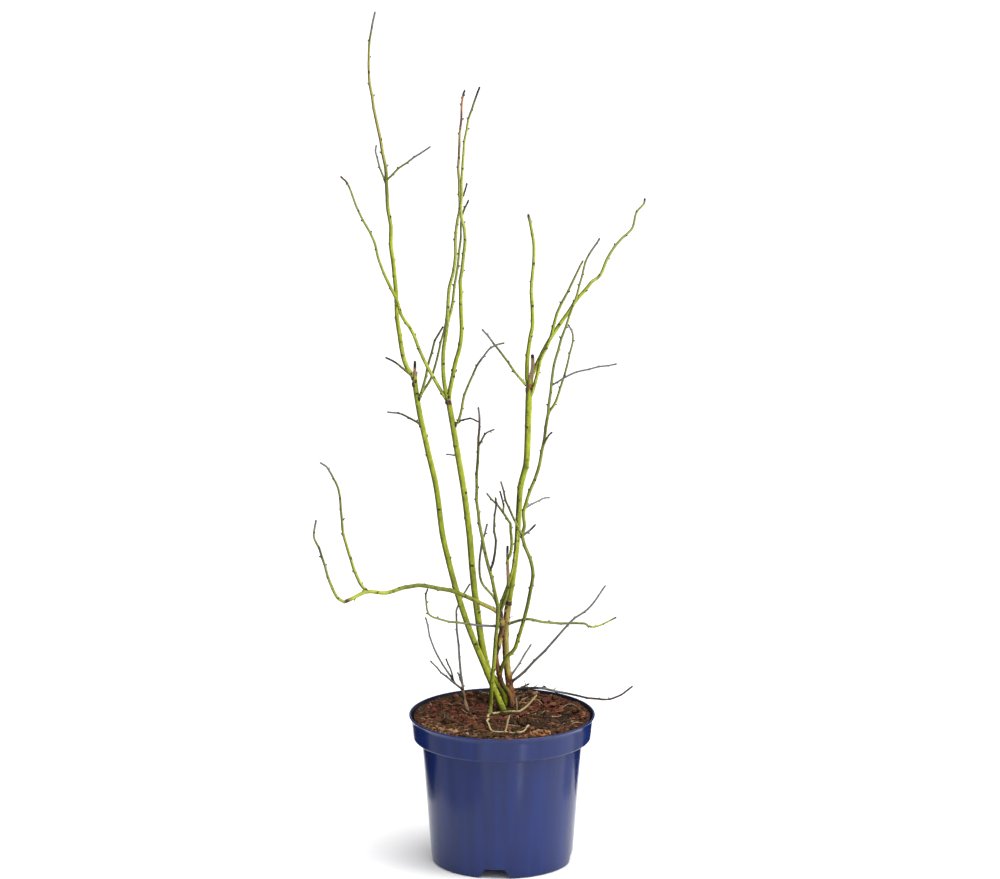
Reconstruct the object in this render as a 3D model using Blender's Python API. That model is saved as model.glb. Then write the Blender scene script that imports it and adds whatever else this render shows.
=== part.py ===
"""A dormant blueberry bush in a nursery pot: canes, boughs and leafless twigs, bark compost and the pot.

Metres, +Z up. The pot stands on Z = 0 with the origin under its middle, and its front faces -Y.
Sizes in the tables below are millimetres.
"""

import math
import random

import bmesh
import bpy
from mathutils import Matrix, Vector
from mathutils.kdtree import KDTree

MM = 0.001
GAP = 0.3  # clearance between pieces that touch

# Pot: a blow-moulded nursery pot with a band and a rolled lip.
POT_HEIGHT = 154.5
POT_WALL = 1.6
LIP_RADIUS = 95.0
LIP_BEAD = 1.9
LIP_CURL = (-70.0, 160.0)  # degrees between which the bead is round
LIP_CLEARANCE = 6.0  # width each side of the lip that buds stay above
BAND_RADIUS = 91.2
BAND_BOTTOM = 129.2
BAND_ROUND = 2.5
BAND_CURL = 50.0  # degrees that the band's lower edge turns under
STEP_LIFT = 0.7  # how far the step's inside is raised for each millimetre of wall
WALL_TOP = 127.5
WALL_TOP_RADIUS = 81.6
WALL_RING = 8.0  # depth of the ring below the wall's top
BASE_RADIUS = 71.4
BASE_ROUND = 2.0
FLOOR = 11.5
POT_SIDES = 48
POT_EDGE = 40.0  # degrees between faces from which an edge is sharp

# Drain slots: cut into the foot of the pot, open below and outwards.
SLOT_COUNT = 4
SLOT_FIRST_ANGLE = -96.0
SLOT_WIDTH_BELOW = 33.0
SLOT_WIDTH_ABOVE = 21.0
SLOT_HEIGHT = 9.4
SLOT_INNER_RADIUS = 50.0
SLOT_PAST = 10.0  # how far the cutter passes the foot's outside
SLOT_UNDER = 2.0  # and its underside

# Compost: bark chips and fibre, filled to below the lip.
COMPOST_TOP = 146.5
COMPOST_BUMP = 3.4
COMPOST_FADE = 8.0  # width along the pot's wall where the lumps flatten out
COMPOST_LEAST = 0.15  # share of the lumps' height that is left at the wall
COMPOST_WAVES = ((0.31, 0.06, 0.0, 1.0), (0.09, 0.27, 2.1, 1.0), (0.11, -0.35, 0.0, 0.6))
COMPOST_SIDES = 32
COMPOST_RINGS = 9
COMPOST_RIM = 1.0  # the wall's rings stop this far below the compost's edge
COMPOST_REACH = 2.0  # limbs that come this near above the lumps are cut out of it
COMPOST_EDGE = 35.0

# Limbs: what every one of them follows.
FOOT = COMPOST_TOP + GAP
COURSE_STEP = 2.0
HEADING_REACH = 3.0  # a limb's heading is taken over this far either way
LONG_INTERNODE = 17.0  # a longer stretch between buds gets a ring half-way
LEAD_IN = 1.5  # how far a limb runs straight on from the tip it grows after
SHARED_LENGTH = 0.5  # how far it starts inside that tip when both are one piece
NEAR = 12.0  # how far round a point its neighbours are looked for
ROUGH_BARK_KINK = 0.15
SHOOT_KINK = 0.35
LIMB_EDGE = 50.0

# Buds: distances along the shoot are in internodes.
FIRST_BUD = (0.5, 0.8)
LAST_BUD = 0.25  # none nearer the tip than this
BUD_SPREAD = (0.8, 1.2)
ROOT_INTERNODE = 1.05
TIP_SHORTENING = 0.35
BUD_TURN = 144.0  # degrees round the shoot from one bud to the next
BUD_OUTWARDS = 0.8
BUD_FORWARDS = 0.6
BUD_LENGTH = 2.3
BUD_RADIUS = 0.75
BUD_SIDES = 3
THINNEST_WITH_BUD = 0.6
BUD_CLEARANCE = 1.0
CROWN_SPACE = 4.0  # how far a bud may stand outside the box of its own twigs

LEAF_GREEN = (0.36, 0.47, 0.08, 1.0)
BARK_BROWN = (0.24, 0.15, 0.08, 1.0)
TWIG_GREY = (0.16, 0.14, 0.11, 1.0)
STRAW = (0.52, 0.50, 0.27, 1.0)
POT_BLUE = (0.035, 0.045, 0.19, 1.0)
COMPOST_BROWN = (0.10, 0.045, 0.025, 1.0)


class Limb:
    """One tapering limb: its course from root to tip, and how thick it is along it."""

    def __init__(self, name, node, course, girth, sides, internode, kink, flat_foot):
        self.name = name
        self.node = node
        self.girth = girth
        self.sides = sides
        self.flat_foot = flat_foot
        self.course, self.along = with_kinks(name, course, internode, kink)
        self.buds = bud_places(name, self.along[-1], internode)
        self.stations = ring_places(self.buds, self.along[-1])

    @property
    def length(self):
        return self.along[-1]

    def point(self, distance):
        distance = min(max(distance, 0.0), self.length)
        k = 1
        while k < len(self.along) - 1 and self.along[k] < distance:
            k += 1
        run = self.along[k] - self.along[k - 1]
        return self.course[k - 1].lerp(self.course[k], (distance - self.along[k - 1]) / run)

    def heading(self, distance):
        ahead = self.point(distance + HEADING_REACH)
        behind = self.point(distance - HEADING_REACH)
        return (ahead - behind).normalized()

    def radius(self, distance):
        share = min(max(distance / self.length, 0.0), 1.0)
        for (s0, r0), (s1, r1) in zip(self.girth, self.girth[1:]):
            if share <= s1:
                return r0 + (r1 - r0) * (share - s0) / (s1 - s0)
        return self.girth[-1][1]


LIMBS = {}


def lengths(points):
    total = [0.0]
    for a, b in zip(points, points[1:]):
        total.append(total[-1] + (b - a).length)
    return total


def smooth_course(knots):
    """A smooth curve through the knots, sampled every few millimetres."""
    if len(knots) == 2:
        count = max(2, math.ceil((knots[1] - knots[0]).length / COURSE_STEP))
        return [knots[0].lerp(knots[1], k / count) for k in range(count + 1)]
    spans = [(b - a).length for a, b in zip(knots, knots[1:])]
    slopes = [(knots[1] - knots[0]) / spans[0]]
    for k in range(1, len(knots) - 1):
        slopes.append((knots[k + 1] - knots[k - 1]) / (spans[k - 1] + spans[k]))
    slopes.append((knots[-1] - knots[-2]) / spans[-1])
    points = [knots[0]]
    for k, span in enumerate(spans):
        count = max(2, math.ceil(span / COURSE_STEP))
        for i in range(1, count + 1):
            u = i / count
            start = knots[k] * (2 * u**3 - 3 * u**2 + 1) + slopes[k] * span * (u**3 - 2 * u**2 + u)
            end = knots[k + 1] * (3 * u**2 - 2 * u**3) + slopes[k + 1] * span * (u**3 - u**2)
            points.append(start + end)
    return points


def bud_places(name, length, internode):
    """Distances of the buds from the root, closer together towards the tip."""
    rule = random.Random("buds " + name)
    places = []
    at = internode * rule.uniform(*FIRST_BUD)
    while at < length - internode * LAST_BUD:
        places.append(at)
        shortened = ROOT_INTERNODE - TIP_SHORTENING * at / length
        at += internode * shortened * rule.uniform(*BUD_SPREAD)
    return places


def ring_places(buds, length):
    """A ring at either end and at each bud, and one between two that lie far apart."""
    stops = [0.0] + buds + [length]
    rings = []
    for a, b in zip(stops, stops[1:]):
        rings.append(a)
        if b - a > LONG_INTERNODE:
            rings.append((a + b) / 2)
    return rings + [length]


def across(direction):
    """Two directions square to this one, the first as level as it can be."""
    level = Vector((0, 0, 1)).cross(direction)
    if level.length < 1e-3:
        level = Vector((1, 0, 0))
    level.normalize()
    return level, direction.cross(level).normalized()


def bud_side(name, order, direction):
    """Buds climb round the shoot, each two fifths of a turn from the last."""
    start = random.Random("turn " + name).uniform(0, 2 * math.pi)
    angle = start + math.radians(BUD_TURN) * order
    level, upper = across(direction)
    return level * math.cos(angle) + upper * math.sin(angle)


def with_kinks(name, course, internode, kink):
    """The course with a small step aside at each bud, as a shoot zigzags."""
    along = lengths(course)
    buds = bud_places(name, along[-1], internode)
    stops = [0.0] + buds + [along[-1]]
    shifts = [Vector((0, 0, 0))]
    for order, at in enumerate(buds):
        k = min(range(len(along)), key=lambda i: abs(along[i] - at))
        a = course[max(k - 1, 0)]
        b = course[min(k + 1, len(course) - 1)]
        shifts.append(bud_side(name, order, (b - a).normalized()) * kink)
    shifts.append(Vector((0, 0, 0)))
    moved = []
    for point, at in zip(course, along):
        k = 1
        while k < len(stops) - 1 and stops[k] < at:
            k += 1
        share = (at - stops[k - 1]) / (stops[k] - stops[k - 1])
        moved.append(point + shifts[k - 1].lerp(shifts[k], share))
    return moved, lengths(moved)


def grow(name, reach, girth, bends=(), foot=None, on=None, after=None, node=None, sides=6,
         internode=18.0, kink=SHOOT_KINK, lying=False):
    """Adds a limb. It stands on the compost, on a share of another limb's length, or after its tip.

    reach is how far the tip lies from the root. Each bend is a share of that way and how far the
    limb passes to its right there, seen from the front or, for a lying limb, from above.
    """
    lead = None
    if foot:
        root = Vector((foot[0], foot[1], FOOT))
    elif on:
        parent = LIMBS[on[0]]
        root = parent.point(on[1] * parent.length)
    else:
        parent = LIMBS[after]
        lead = parent.heading(parent.length)
        root = parent.point(parent.length) - lead * SHARED_LENGTH
        if parent.node != node:
            root = parent.point(parent.length) + lead * GAP
    reach = Vector(reach)
    if lying:
        right = Vector((reach.y, -reach.x, 0.0)).normalized()
    else:
        right = Vector((reach.z, 0.0, -reach.x)).normalized()
    knots = [root]
    if lead:
        knots.append(root + lead * LEAD_IN)
    knots += [root + reach * share + right * aside for share, aside in bends]
    knots.append(root + reach)
    LIMBS[name] = Limb(name, node or name, smooth_course(knots), girth, sides, internode, kink,
                       bool(foot) and not lying)


def even(root, tip):
    """A girth that tapers evenly between two radii."""
    return ((0.0, root), (1.0, tip))


def grow_left_cane():
    grow("cane_left", foot=(1, 39), reach=(-90, 27, 364), sides=8, internode=30, kink=ROUGH_BARK_KINK,
         bends=((0.11, -6), (0.28, -14.5), (0.49, -16.5), (0.65, -10.5), (0.82, -9), (0.94, -5.5)),
         girth=((0, 3.5), (0.04, 2.9), (0.3, 2.75), (0.92, 2.5), (0.96, 1.9), (1, 1.5)))
    grow("bough_left", on=("cane_left", 0.95), reach=(-24, 21, 153), girth=even(2.1, 1.75),
         bends=((0.1, -6.5), (0.22, -8.5), (0.4, -8), (0.67, -4), (0.87, -3)))
    grow("left_leader", node="twigs_left_top", after="bough_left", reach=(-16, 32, 217),
         bends=((0.1, -2), (0.27, -1), (0.64, -10), (0.79, -10), (0.93, -4.5)), girth=even(1.7, 0.65))
    grow("left_leader_right", node="twigs_left_top", on=("left_leader", 0.22), reach=(45, -27, 40),
         bends=((0.36, -2),), girth=even(0.8, 0.5), sides=4, internode=13)
    grow("left_leader_left", node="twigs_left_top", on=("left_leader", 0.19), reach=(-11, 26, 38),
         bends=((0.84, -2.5),), girth=even(0.8, 0.5), sides=4, internode=13)
    grow("twigs_left_fork", on=("cane_left", 0.95), reach=(-29, -20, 27), bends=((0.69, 2),),
         girth=even(1.0, 0.55), sides=4, internode=13)
    grow("twigs_left_low", on=("cane_left", 0.82), reach=(-36, 27, 8), bends=((0.58, 3.5),),
         girth=even(0.85, 0.5), sides=4, internode=13)
    grow("left_knob_front", node="twigs_left_knob", on=("cane_left", 0.90), reach=(27, -33, 81),
         bends=((0.02, 3), (0.77, -2.5)), girth=even(1.2, 0.6), sides=4, internode=16)
    grow("left_knob_back", node="twigs_left_knob", on=("left_knob_front", 0.06), reach=(26, 15, 74),
         bends=((0.27, 4.5),), girth=even(1.0, 0.6), sides=4, internode=16)


def grow_middle_cane():
    grow("cane_middle", foot=(4, 58), reach=(-58, -36, 331), sides=8, internode=30, kink=ROUGH_BARK_KINK,
         bends=((0.05, 0), (0.12, -11), (0.19, -12.5), (0.38, -10), (0.65, -2.5)),
         girth=((0, 3.9), (0.05, 3.3), (0.35, 3.1), (0.95, 2.7), (1, 2.6)))
    grow("bough_outer", after="cane_middle", reach=(12, -24, 129), girth=((0, 2.5), (0.06, 2.0), (1, 1.6)),
         bends=((0.31, 2.5), (0.47, 6), (0.59, 6)))
    grow("twigs_outer", after="bough_outer", reach=(20, -86, 215), girth=even(1.55, 0.6),
         bends=((0.2, 1), (0.28, -1.5), (0.33, -5), (0.45, -7.5), (0.69, -9.5), (0.84, -7.5)))
    grow("bough_inner", on=("cane_middle", 1.0), reach=(-2, -16, 79), girth=even(1.9, 1.6),
         bends=((0.15, -3), (0.42, -4.5), (0.68, -4)))
    grow("inner_leader", node="twigs_inner", after="bough_inner", reach=(19, -61, 256),
         bends=((0.17, -0.5), (0.26, 3), (0.44, 2), (0.52, 4), (0.69, -0.5), (0.98, -1.5)),
         girth=even(1.55, 0.65))
    grow("inner_leader_right", node="twigs_inner", on=("inner_leader", 0.01), reach=(22, 22, 126),
         bends=((0.14, 1.5), (0.68, -1), (0.85, -4)), girth=even(1.2, 0.55), sides=4)
    grow("inner_leader_short", node="twigs_inner", on=("inner_leader", 0.54), reach=(7, 19, 15),
         bends=((0.36, 1),), girth=even(0.7, 0.45), sides=3, internode=10)
    grow("bough_crossing", on=("cane_middle", 0.995), reach=(-65, -12, 137), girth=even(1.5, 1.15),
         bends=((0.3, -3), (0.58, -1), (0.7, -3), (0.8, -0.5)))
    grow("twigs_crossing", after="bough_crossing", reach=(-42, -36, 107), girth=even(1.1, 0.6),
         bends=((0.15, 1), (0.31, 4), (0.68, 2), (0.92, 3.5)))
    grow("middle_side", node="twigs_middle_side", on=("cane_middle", 0.93), reach=(52, -47, 95),
         bends=((0.04, 4), (0.33, -5.5), (0.66, -10.5), (0.85, -9.5), (0.94, -5.5)),
         girth=even(1.15, 0.55), sides=4, internode=16)
    grow("middle_arch", node="twigs_middle_side", on=("middle_side", 0.05), reach=(22, -15, 4),
         bends=((0.18, -2.5), (0.45, -3.5), (0.68, -3.5)), girth=even(0.6, 0.4), sides=3, internode=11)
    grow("twig_middle_hair", on=("cane_middle", 0.83), reach=(-12, 14, -3), girth=even(0.5, 0.35),
         sides=3, internode=9)


def grow_right_cane():
    grow("cane_right", foot=(10, 62), reach=(21, -10, 374), sides=8, internode=30, kink=ROUGH_BARK_KINK,
         bends=((0.2, -10.5), (0.43, -4.5), (0.62, -4), (0.7, 0.5), (0.9, -1), (0.97, 1)),
         girth=((0, 4.0), (0.04, 3.3), (0.2, 2.9), (0.42, 2.5), (0.86, 3.2), (0.92, 3.1), (0.95, 1.8),
                (1, 1.5)))
    grow("bough_straight", on=("cane_right", 0.91), reach=(2, 31, 89), girth=even(1.95, 1.5),
         bends=((0.1, -3), (0.53, -0.5), (0.67, 2)))
    grow("twigs_straight", after="bough_straight", reach=(-3, 46, 73), bends=((0.62, 4.5),),
         girth=even(1.45, 1.15))
    grow("bough_far", on=("cane_right", 0.91), reach=(62, 19, 103), girth=even(1.9, 1.4),
         bends=((0.11, -3.5), (0.35, -6.5), (0.81, -3.5)))
    grow("twigs_far", after="bough_far", reach=(56, 40, 80), girth=even(1.35, 0.65),
         bends=((0.12, 4), (0.31, 0.5), (0.53, 2), (0.69, 5.5), (0.84, 0.5), (0.95, 2)))
    grow("bough_near", on=("cane_right", 0.88), reach=(28, -23, 91), girth=even(1.6, 1.2),
         bends=((0.08, 2), (0.45, -0.5), (0.73, 1.5)))
    grow("twigs_near", after="bough_near", reach=(26, -18, 59), girth=even(1.15, 0.6))
    grow("twigs_right_knob", on=("cane_right", 0.91), reach=(-48, -31, 66), sides=4, internode=16,
         bends=((0.07, -2.5), (0.72, 0)), girth=even(1.1, 0.6))
    grow("arm_right", on=("cane_right", 0.23), reach=(80, 36, -9), girth=even(1.2, 0.85), sides=4,
         bends=((0.27, -5.5), (0.51, -1.5)))
    grow("twigs_arm_right", after="arm_right", reach=(34, 16, 2), girth=even(0.8, 0.5), sides=4,
         bends=((0.23, 5), (0.4, 6)), internode=11)
    grow("twigs_grey_long", on=("cane_right", 0.06), reach=(98, -43, 116), girth=even(1.15, 0.5), sides=4,
         bends=((0.09, 2), (0.27, 2.5), (0.46, 2), (0.63, 0.5), (0.82, 4)), internode=15)
    grow("twigs_grey_short", on=("cane_right", 0.07), reach=(23, 25, 31), girth=even(0.8, 0.5), sides=4,
         internode=12)
    grow("grey_low", node="twigs_grey_low", on=("cane_right", 0.04), reach=(126, -14, 8), sides=4,
         bends=((0.16, -2), (0.29, 0), (0.74, 13), (0.89, 9.5)), girth=even(1.05, 0.5), internode=13)
    grow("straw_back", node="twigs_straw_back", on=("cane_right", 0.03), reach=(19, 12, 7), sides=3,
         girth=even(0.8, 0.5), internode=10)


def grow_old_stem():
    grow("stem_old", foot=(9.5, 54.5), reach=(-12, -6, 103), sides=7, internode=16, kink=ROUGH_BARK_KINK,
         bends=((0.12, 0), (0.25, -6.5), (0.43, -9), (0.55, -9), (0.69, -3.5), (0.87, 1)),
         girth=((0, 2.6), (0.08, 2.0), (0.6, 1.75), (0.92, 1.8), (0.97, 2.4), (1, 2.0)))
    grow("stem_front", after="stem_old", reach=(19, -10, 127), girth=even(1.1, 0.75), sides=4,
         bends=((0.37, 6.5), (0.56, 6.5)))
    grow("stem_short", on=("stem_old", 0.99), reach=(11, -26, 100), girth=even(1.35, 1.1), sides=6,
         bends=((0.17, 4.5), (0.31, 5), (0.61, 1.5), (0.67, 3.5), (0.82, 3)))
    grow("short_left", node="twigs_short", after="stem_short", reach=(-24, -21, 38),
         bends=((0.46, 1.5),), girth=even(1.0, 0.55), sides=4, internode=12)
    grow("short_side", node="twigs_short", on=("short_left", 0.38), reach=(-3, 13, 19),
         bends=((0.31, 1.5),), girth=even(0.75, 0.45), sides=3, internode=10)
    grow("stub_short", on=("stem_short", 0.57), reach=(0, 5, 17), girth=even(1.0, 0.85), sides=4,
         internode=12)
    grow("twigs_curl", on=("stem_old", 0.985), reach=(-13, -29, 102), girth=even(1.1, 0.6), sides=4,
         bends=((0.17, -3.5), (0.37, -14), (0.57, -13.5), (0.78, -8.5)), internode=14)
    grow("stem_right", on=("stem_old", 0.34), reach=(49, -40, 285), girth=even(1.7, 1.25), sides=6,
         bends=((0.05, 2), (0.08, 5), (0.12, 11), (0.33, 15.5), (0.42, 13.5), (0.54, -3), (0.58, -3),
                (0.64, -6.5), (0.81, 0.5)))
    grow("right_leader", node="twigs_right_top", after="stem_right", reach=(50, -107, 206),
         bends=((0.27, -8), (0.42, -8.5), (0.71, -6), (0.88, -6.5)), girth=even(1.2, 0.6))
    grow("right_leader_right", node="twigs_right_top", on=("right_leader", 0.01), reach=(20, -42, 102),
         bends=((0.2, 5.5), (0.77, 8), (0.91, 6)), girth=even(1.0, 0.55), sides=4)
    grow("right_leader_hair", node="twigs_right_top", on=("right_leader", 0.17), reach=(65, -34, 30),
         bends=((0.34, -4.5), (0.59, -4)), girth=even(0.6, 0.4), sides=3, internode=14)
    grow("twigs_knee", on=("stem_right", 0.55), reach=(-22, -25, 63), bends=((0.59, -2.5),),
         girth=even(1.0, 0.55), sides=4, internode=14)
    grow("twig_right_short", on=("stem_right", 0.55), reach=(13, -3, 12), bends=((0.6, 0.5),),
         girth=even(0.9, 0.6), sides=3, internode=9)
    grow("twig_right_hair", on=("stem_right", 0.65), reach=(26, 23, 6), bends=((0.7, -2),),
         girth=even(0.6, 0.4), sides=3, internode=12)
    grow("twig_right_up", on=("stem_right", 0.89), reach=(9, -11, 17), bends=((0.79, -1),),
         girth=even(0.75, 0.5), sides=3, internode=9)
    grow("twigs_low_curl", on=("stem_old", 0.84), reach=(-76, -35, 50), girth=even(0.95, 0.5), sides=4,
         bends=((0.41, -15), (0.72, -23.5), (0.83, -22), (0.96, -9)), internode=14)


def grow_low_arm():
    grow("arm_inner", on=("stem_old", 0.975), reach=(-95, -49, 42), girth=even(1.95, 1.75),
         bends=((0.13, 3.5), (0.52, 9), (0.88, 5.5)))
    grow("arm_outer", after="arm_inner", reach=(-61, -52, -1), bends=((0.33, -1), (0.65, 4.5)),
         girth=((0, 1.7), (0.9, 1.5), (1, 1.7)))
    grow("twigs_arm_tip", after="arm_outer", reach=(-28, -36, 94), girth=even(1.3, 0.6), internode=14,
         bends=((0.08, -6.5), (0.32, -8), (0.65, -6.5), (0.83, -7.5)))
    grow("twigs_arm_up", on=("arm_outer", 0.65), reach=(-48, 60, 120), girth=even(1.4, 0.6), internode=14,
         bends=((0.09, -4), (0.45, -2.5), (0.77, 8), (0.95, 4.5)))


def grow_thin_stem():
    grow("stem_thin", foot=(-13, 27), reach=(-11, -25, 288), girth=((0, 2.3), (0.05, 1.8), (1, 1.05)),
         bends=((0.39, 13), (0.45, 11.5), (0.62, 2), (0.76, -3), (0.85, -3.5)))
    grow("thin_leader", node="twigs_thin_top", after="stem_thin", reach=(0, -2, 42),
         bends=((0.78, 1),), girth=even(1.0, 0.65), sides=4, internode=13)
    grow("thin_leader_right", node="twigs_thin_top", on=("thin_leader", 0.04), reach=(16, -16, 21),
         bends=((0.56, -3), (0.83, -2.5)), girth=even(0.7, 0.45), sides=3, internode=11)
    grow("twigs_thin_branch", on=("stem_thin", 0.54), reach=(6, -28, 84), girth=even(1.0, 0.6), sides=4,
         bends=((0.12, 3), (0.41, 3.5), (0.63, 0.5), (0.91, 1)), internode=14)


def grow_dead_stem():
    grow("stem_dead", foot=(-35, 34), reach=(2, 36, 127), girth=((0, 1.3), (0.1, 1.0), (1, 0.5)), sides=6,
         bends=((0.16, -5.5), (0.77, -14), (0.82, -12.5)), internode=16)
    grow("dead_low", node="twigs_dead", on=("stem_dead", 0.17), reach=(-33, -36, 41),
         bends=((0.58, -1.5),), girth=even(0.8, 0.4), sides=4, internode=12)
    grow("dead_high", node="twigs_dead", on=("dead_low", 0.23), reach=(-30, -2, 71),
         bends=((0.32, -3.5), (0.52, -5), (0.67, -4.5)), girth=even(0.7, 0.4), sides=4, internode=13)
    grow("dead_short", node="twigs_dead", on=("dead_high", 0.05), reach=(-7, -24, 30),
         bends=((0.47, 1),), girth=even(0.6, 0.4), sides=3, internode=11)
    grow("twig_dead_spur", on=("stem_dead", 0.22), reach=(-5, 12, 8), girth=even(0.55, 0.4), sides=3,
         internode=8)


def grow_straw():
    """Pale dead twigs that lie on the compost or lean out of it."""
    grow("straw_front", node="twigs_straw_front", foot=(-15, -4), lying=True, reach=(42, -18, 2),
         bends=((0.22, 17), (0.45, 32.5), (0.76, 30.5), (1.08, 29)), girth=even(1.1, 0.6), sides=4,
         internode=13)
    grow("straw_front_up", node="twigs_straw_front", on=("straw_front", 0.52), reach=(5, 3, 17),
         girth=even(0.8, 0.5), sides=3, internode=9)
    grow("straw_middle", node="twigs_straw_middle", foot=(-9, 27), lying=True, reach=(26, 4, 1),
         bends=((0.5, -2),), girth=even(0.95, 0.8), sides=4, internode=12)
    grow("straw_middle_up", node="twigs_straw_middle", after="straw_middle", reach=(19.5, 8, 15.5),
         bends=((0.5, 2),), girth=even(0.8, 0.5), sides=4, internode=10)


def place_limbs():
    for family in (grow_left_cane, grow_middle_cane, grow_right_cane, grow_old_stem, grow_low_arm,
                   grow_thin_stem, grow_dead_stem, grow_straw):
        family()


def limbs_of(node):
    return [limb for limb in LIMBS.values() if limb.node == node]


def is_mass(node):
    return node.startswith("twig")


def material(name, colour, roughness):
    made = bpy.data.materials.new(name)
    made.use_nodes = True
    shader = made.node_tree.nodes["Principled BSDF"]
    shader.inputs["Base Color"].default_value = colour
    shader.inputs["Roughness"].default_value = roughness
    shader.inputs["Metallic"].default_value = 0.0
    return made


def add_object(name, bm, finish=None):
    bmesh.ops.recalc_face_normals(bm, faces=bm.faces)
    mesh = bpy.data.meshes.new(name)
    bm.to_mesh(mesh)
    bm.free()
    mesh.transform(Matrix.Scale(MM, 4))
    obj = bpy.data.objects.new(name, mesh)
    bpy.context.scene.collection.objects.link(obj)
    if finish:
        mesh.materials.append(finish)
    return obj


def remove(objects):
    for obj in objects:
        mesh = obj.data
        bpy.data.objects.remove(obj)
        bpy.data.meshes.remove(mesh)


def boolean(obj, others, operation):
    """Joins the others to the object, or cuts them from it, in one step, and removes them."""
    group = bpy.data.collections.new("helpers")
    bpy.context.scene.collection.children.link(group)
    for other in others:
        group.objects.link(other)
    step = obj.modifiers.new("join", "BOOLEAN")
    step.operation = operation
    step.operand_type = "COLLECTION"
    step.collection = group
    step.solver = "EXACT"
    graph = bpy.context.evaluated_depsgraph_get()
    result = bpy.data.meshes.new_from_object(obj.evaluated_get(graph))
    obj.modifiers.remove(step)
    old = obj.data
    name = old.name
    obj.data = result
    bpy.data.meshes.remove(old)
    result.name = name
    remove(others)
    bpy.data.collections.remove(group)


def keep_largest(obj):
    """Drops the loose scraps that a cut can leave beside a limb."""
    bm = bmesh.new()
    bm.from_mesh(obj.data)
    bmesh.ops.triangulate(bm, faces=bm.faces)
    left = set(bm.verts)
    pieces = []
    while left:
        stack = [left.pop()]
        piece = set(stack)
        while stack:
            for edge in stack.pop().link_edges:
                for vert in edge.verts:
                    if vert in left:
                        left.discard(vert)
                        piece.add(vert)
                        stack.append(vert)
        pieces.append(piece)
    pieces.sort(key=len)
    bmesh.ops.delete(bm, geom=[v for piece in pieces[:-1] for v in piece], context="VERTS")
    bm.to_mesh(obj.data)
    bm.free()


def tube(bm, limb, extra=0.0):
    """The limb's skin: a ring at each station, closed flat at the root and the tip."""
    side = None
    rings = []
    for at in limb.stations:
        heading = limb.heading(at)
        if limb.flat_foot and at == 0.0:
            heading = Vector((0, 0, 1))
        if side is None:
            side = across(heading)[0]
        side = (side - heading * side.dot(heading)).normalized()
        upper = heading.cross(side)
        centre = limb.point(at)
        if extra and at == 0.0:
            centre = centre - heading * extra
        if extra and at == limb.length:
            centre = centre + heading * extra
        radius = limb.radius(at) + extra
        ring = []
        for k in range(limb.sides):
            angle = 2 * math.pi * k / limb.sides
            ring.append(bm.verts.new(centre + (side * math.cos(angle) + upper * math.sin(angle)) * radius))
        rings.append(ring)
    for lower, higher in zip(rings, rings[1:]):
        for k in range(limb.sides):
            following = (k + 1) % limb.sides
            bm.faces.new((lower[k], lower[following], higher[following], higher[k]))
    bm.faces.new(reversed(rings[0]))
    bm.faces.new(rings[-1])


def limb_object(limb, extra=0.0, finish=None):
    bm = bmesh.new()
    tube(bm, limb, extra)
    return add_object(limb.name, bm, finish)


def bud_object(limb, order, at, finish):
    """A small bud that stands off the shoot and leans towards its tip."""
    heading = limb.heading(at)
    out = bud_side(limb.name, order, heading)
    lean = (out * BUD_OUTWARDS + heading * BUD_FORWARDS).normalized()
    level, upper = across(lean)
    root = limb.point(at)
    tip = root + lean * (limb.radius(at) + BUD_LENGTH)
    bm = bmesh.new()
    apex = bm.verts.new(tip)
    base = []
    for k in range(BUD_SIDES):
        angle = 2 * math.pi / BUD_SIDES * k
        base.append(bm.verts.new(root + (level * math.cos(angle) + upper * math.sin(angle)) * BUD_RADIUS))
    for k in range(BUD_SIDES):
        bm.faces.new((base[k], base[(k + 1) % BUD_SIDES], apex))
    bm.faces.new(reversed(base))
    return add_object(limb.name + "_bud", bm, finish), tip


class Surroundings:
    """Answers whether a point is clear of every limb but its own."""

    def __init__(self):
        samples = [(limb, k) for limb in LIMBS.values() for k in range(len(limb.course))]
        self.samples = samples
        self.tree = KDTree(len(samples))
        for index, (limb, k) in enumerate(samples):
            self.tree.insert(limb.course[k], index)
        self.tree.balance()

    def clear(self, point, own, margin):
        for _, index, distance in self.tree.find_range(point, NEAR):
            limb, k = self.samples[index]
            if limb is not own and distance < limb.radius(limb.along[k]) + margin:
                return False
        return True

    def neighbours(self, limb, reach):
        """The limbs whose skins come within reach of this one's."""
        near = set()
        for k, point in enumerate(limb.course):
            own = limb.radius(limb.along[k])
            for _, index, distance in self.tree.find_range(point, NEAR):
                other, i = self.samples[index]
                if other is not limb and distance < own + other.radius(other.along[i]) + reach:
                    near.add(other.name)
        return near


def in_space(point, low, high):
    """Whether a point lies in a mass's own space, above the compost and off the pot's lip."""
    level = COMPOST_TOP + COMPOST_BUMP + BUD_CLEARANCE
    if abs(math.hypot(point.x, point.y) - LIP_RADIUS) < LIP_CLEARANCE:
        level = POT_HEIGHT + BUD_CLEARANCE
    inside = all(a - CROWN_SPACE <= p <= b + CROWN_SPACE for a, p, b in zip(low, point, high))
    return inside and point.z > level


def buds_of(node, around, finish):
    """Buds on a mass's twigs. One that would leave the mass's space or touch a limb is skipped."""
    limbs = limbs_of(node)
    points = [point for limb in limbs for point in limb.course]
    low = [min(point[axis] for point in points) for axis in range(3)]
    high = [max(point[axis] for point in points) for axis in range(3)]
    made = []
    for limb in limbs:
        for order, at in enumerate(limb.buds):
            if limb.radius(at) < THINNEST_WITH_BUD:
                continue
            bud, tip = bud_object(limb, order, at, finish)
            if in_space(tip, low, high) and around.clear(tip, limb, BUD_CLEARANCE):
                made.append(bud)
            else:
                remove([bud])
    return made


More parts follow.
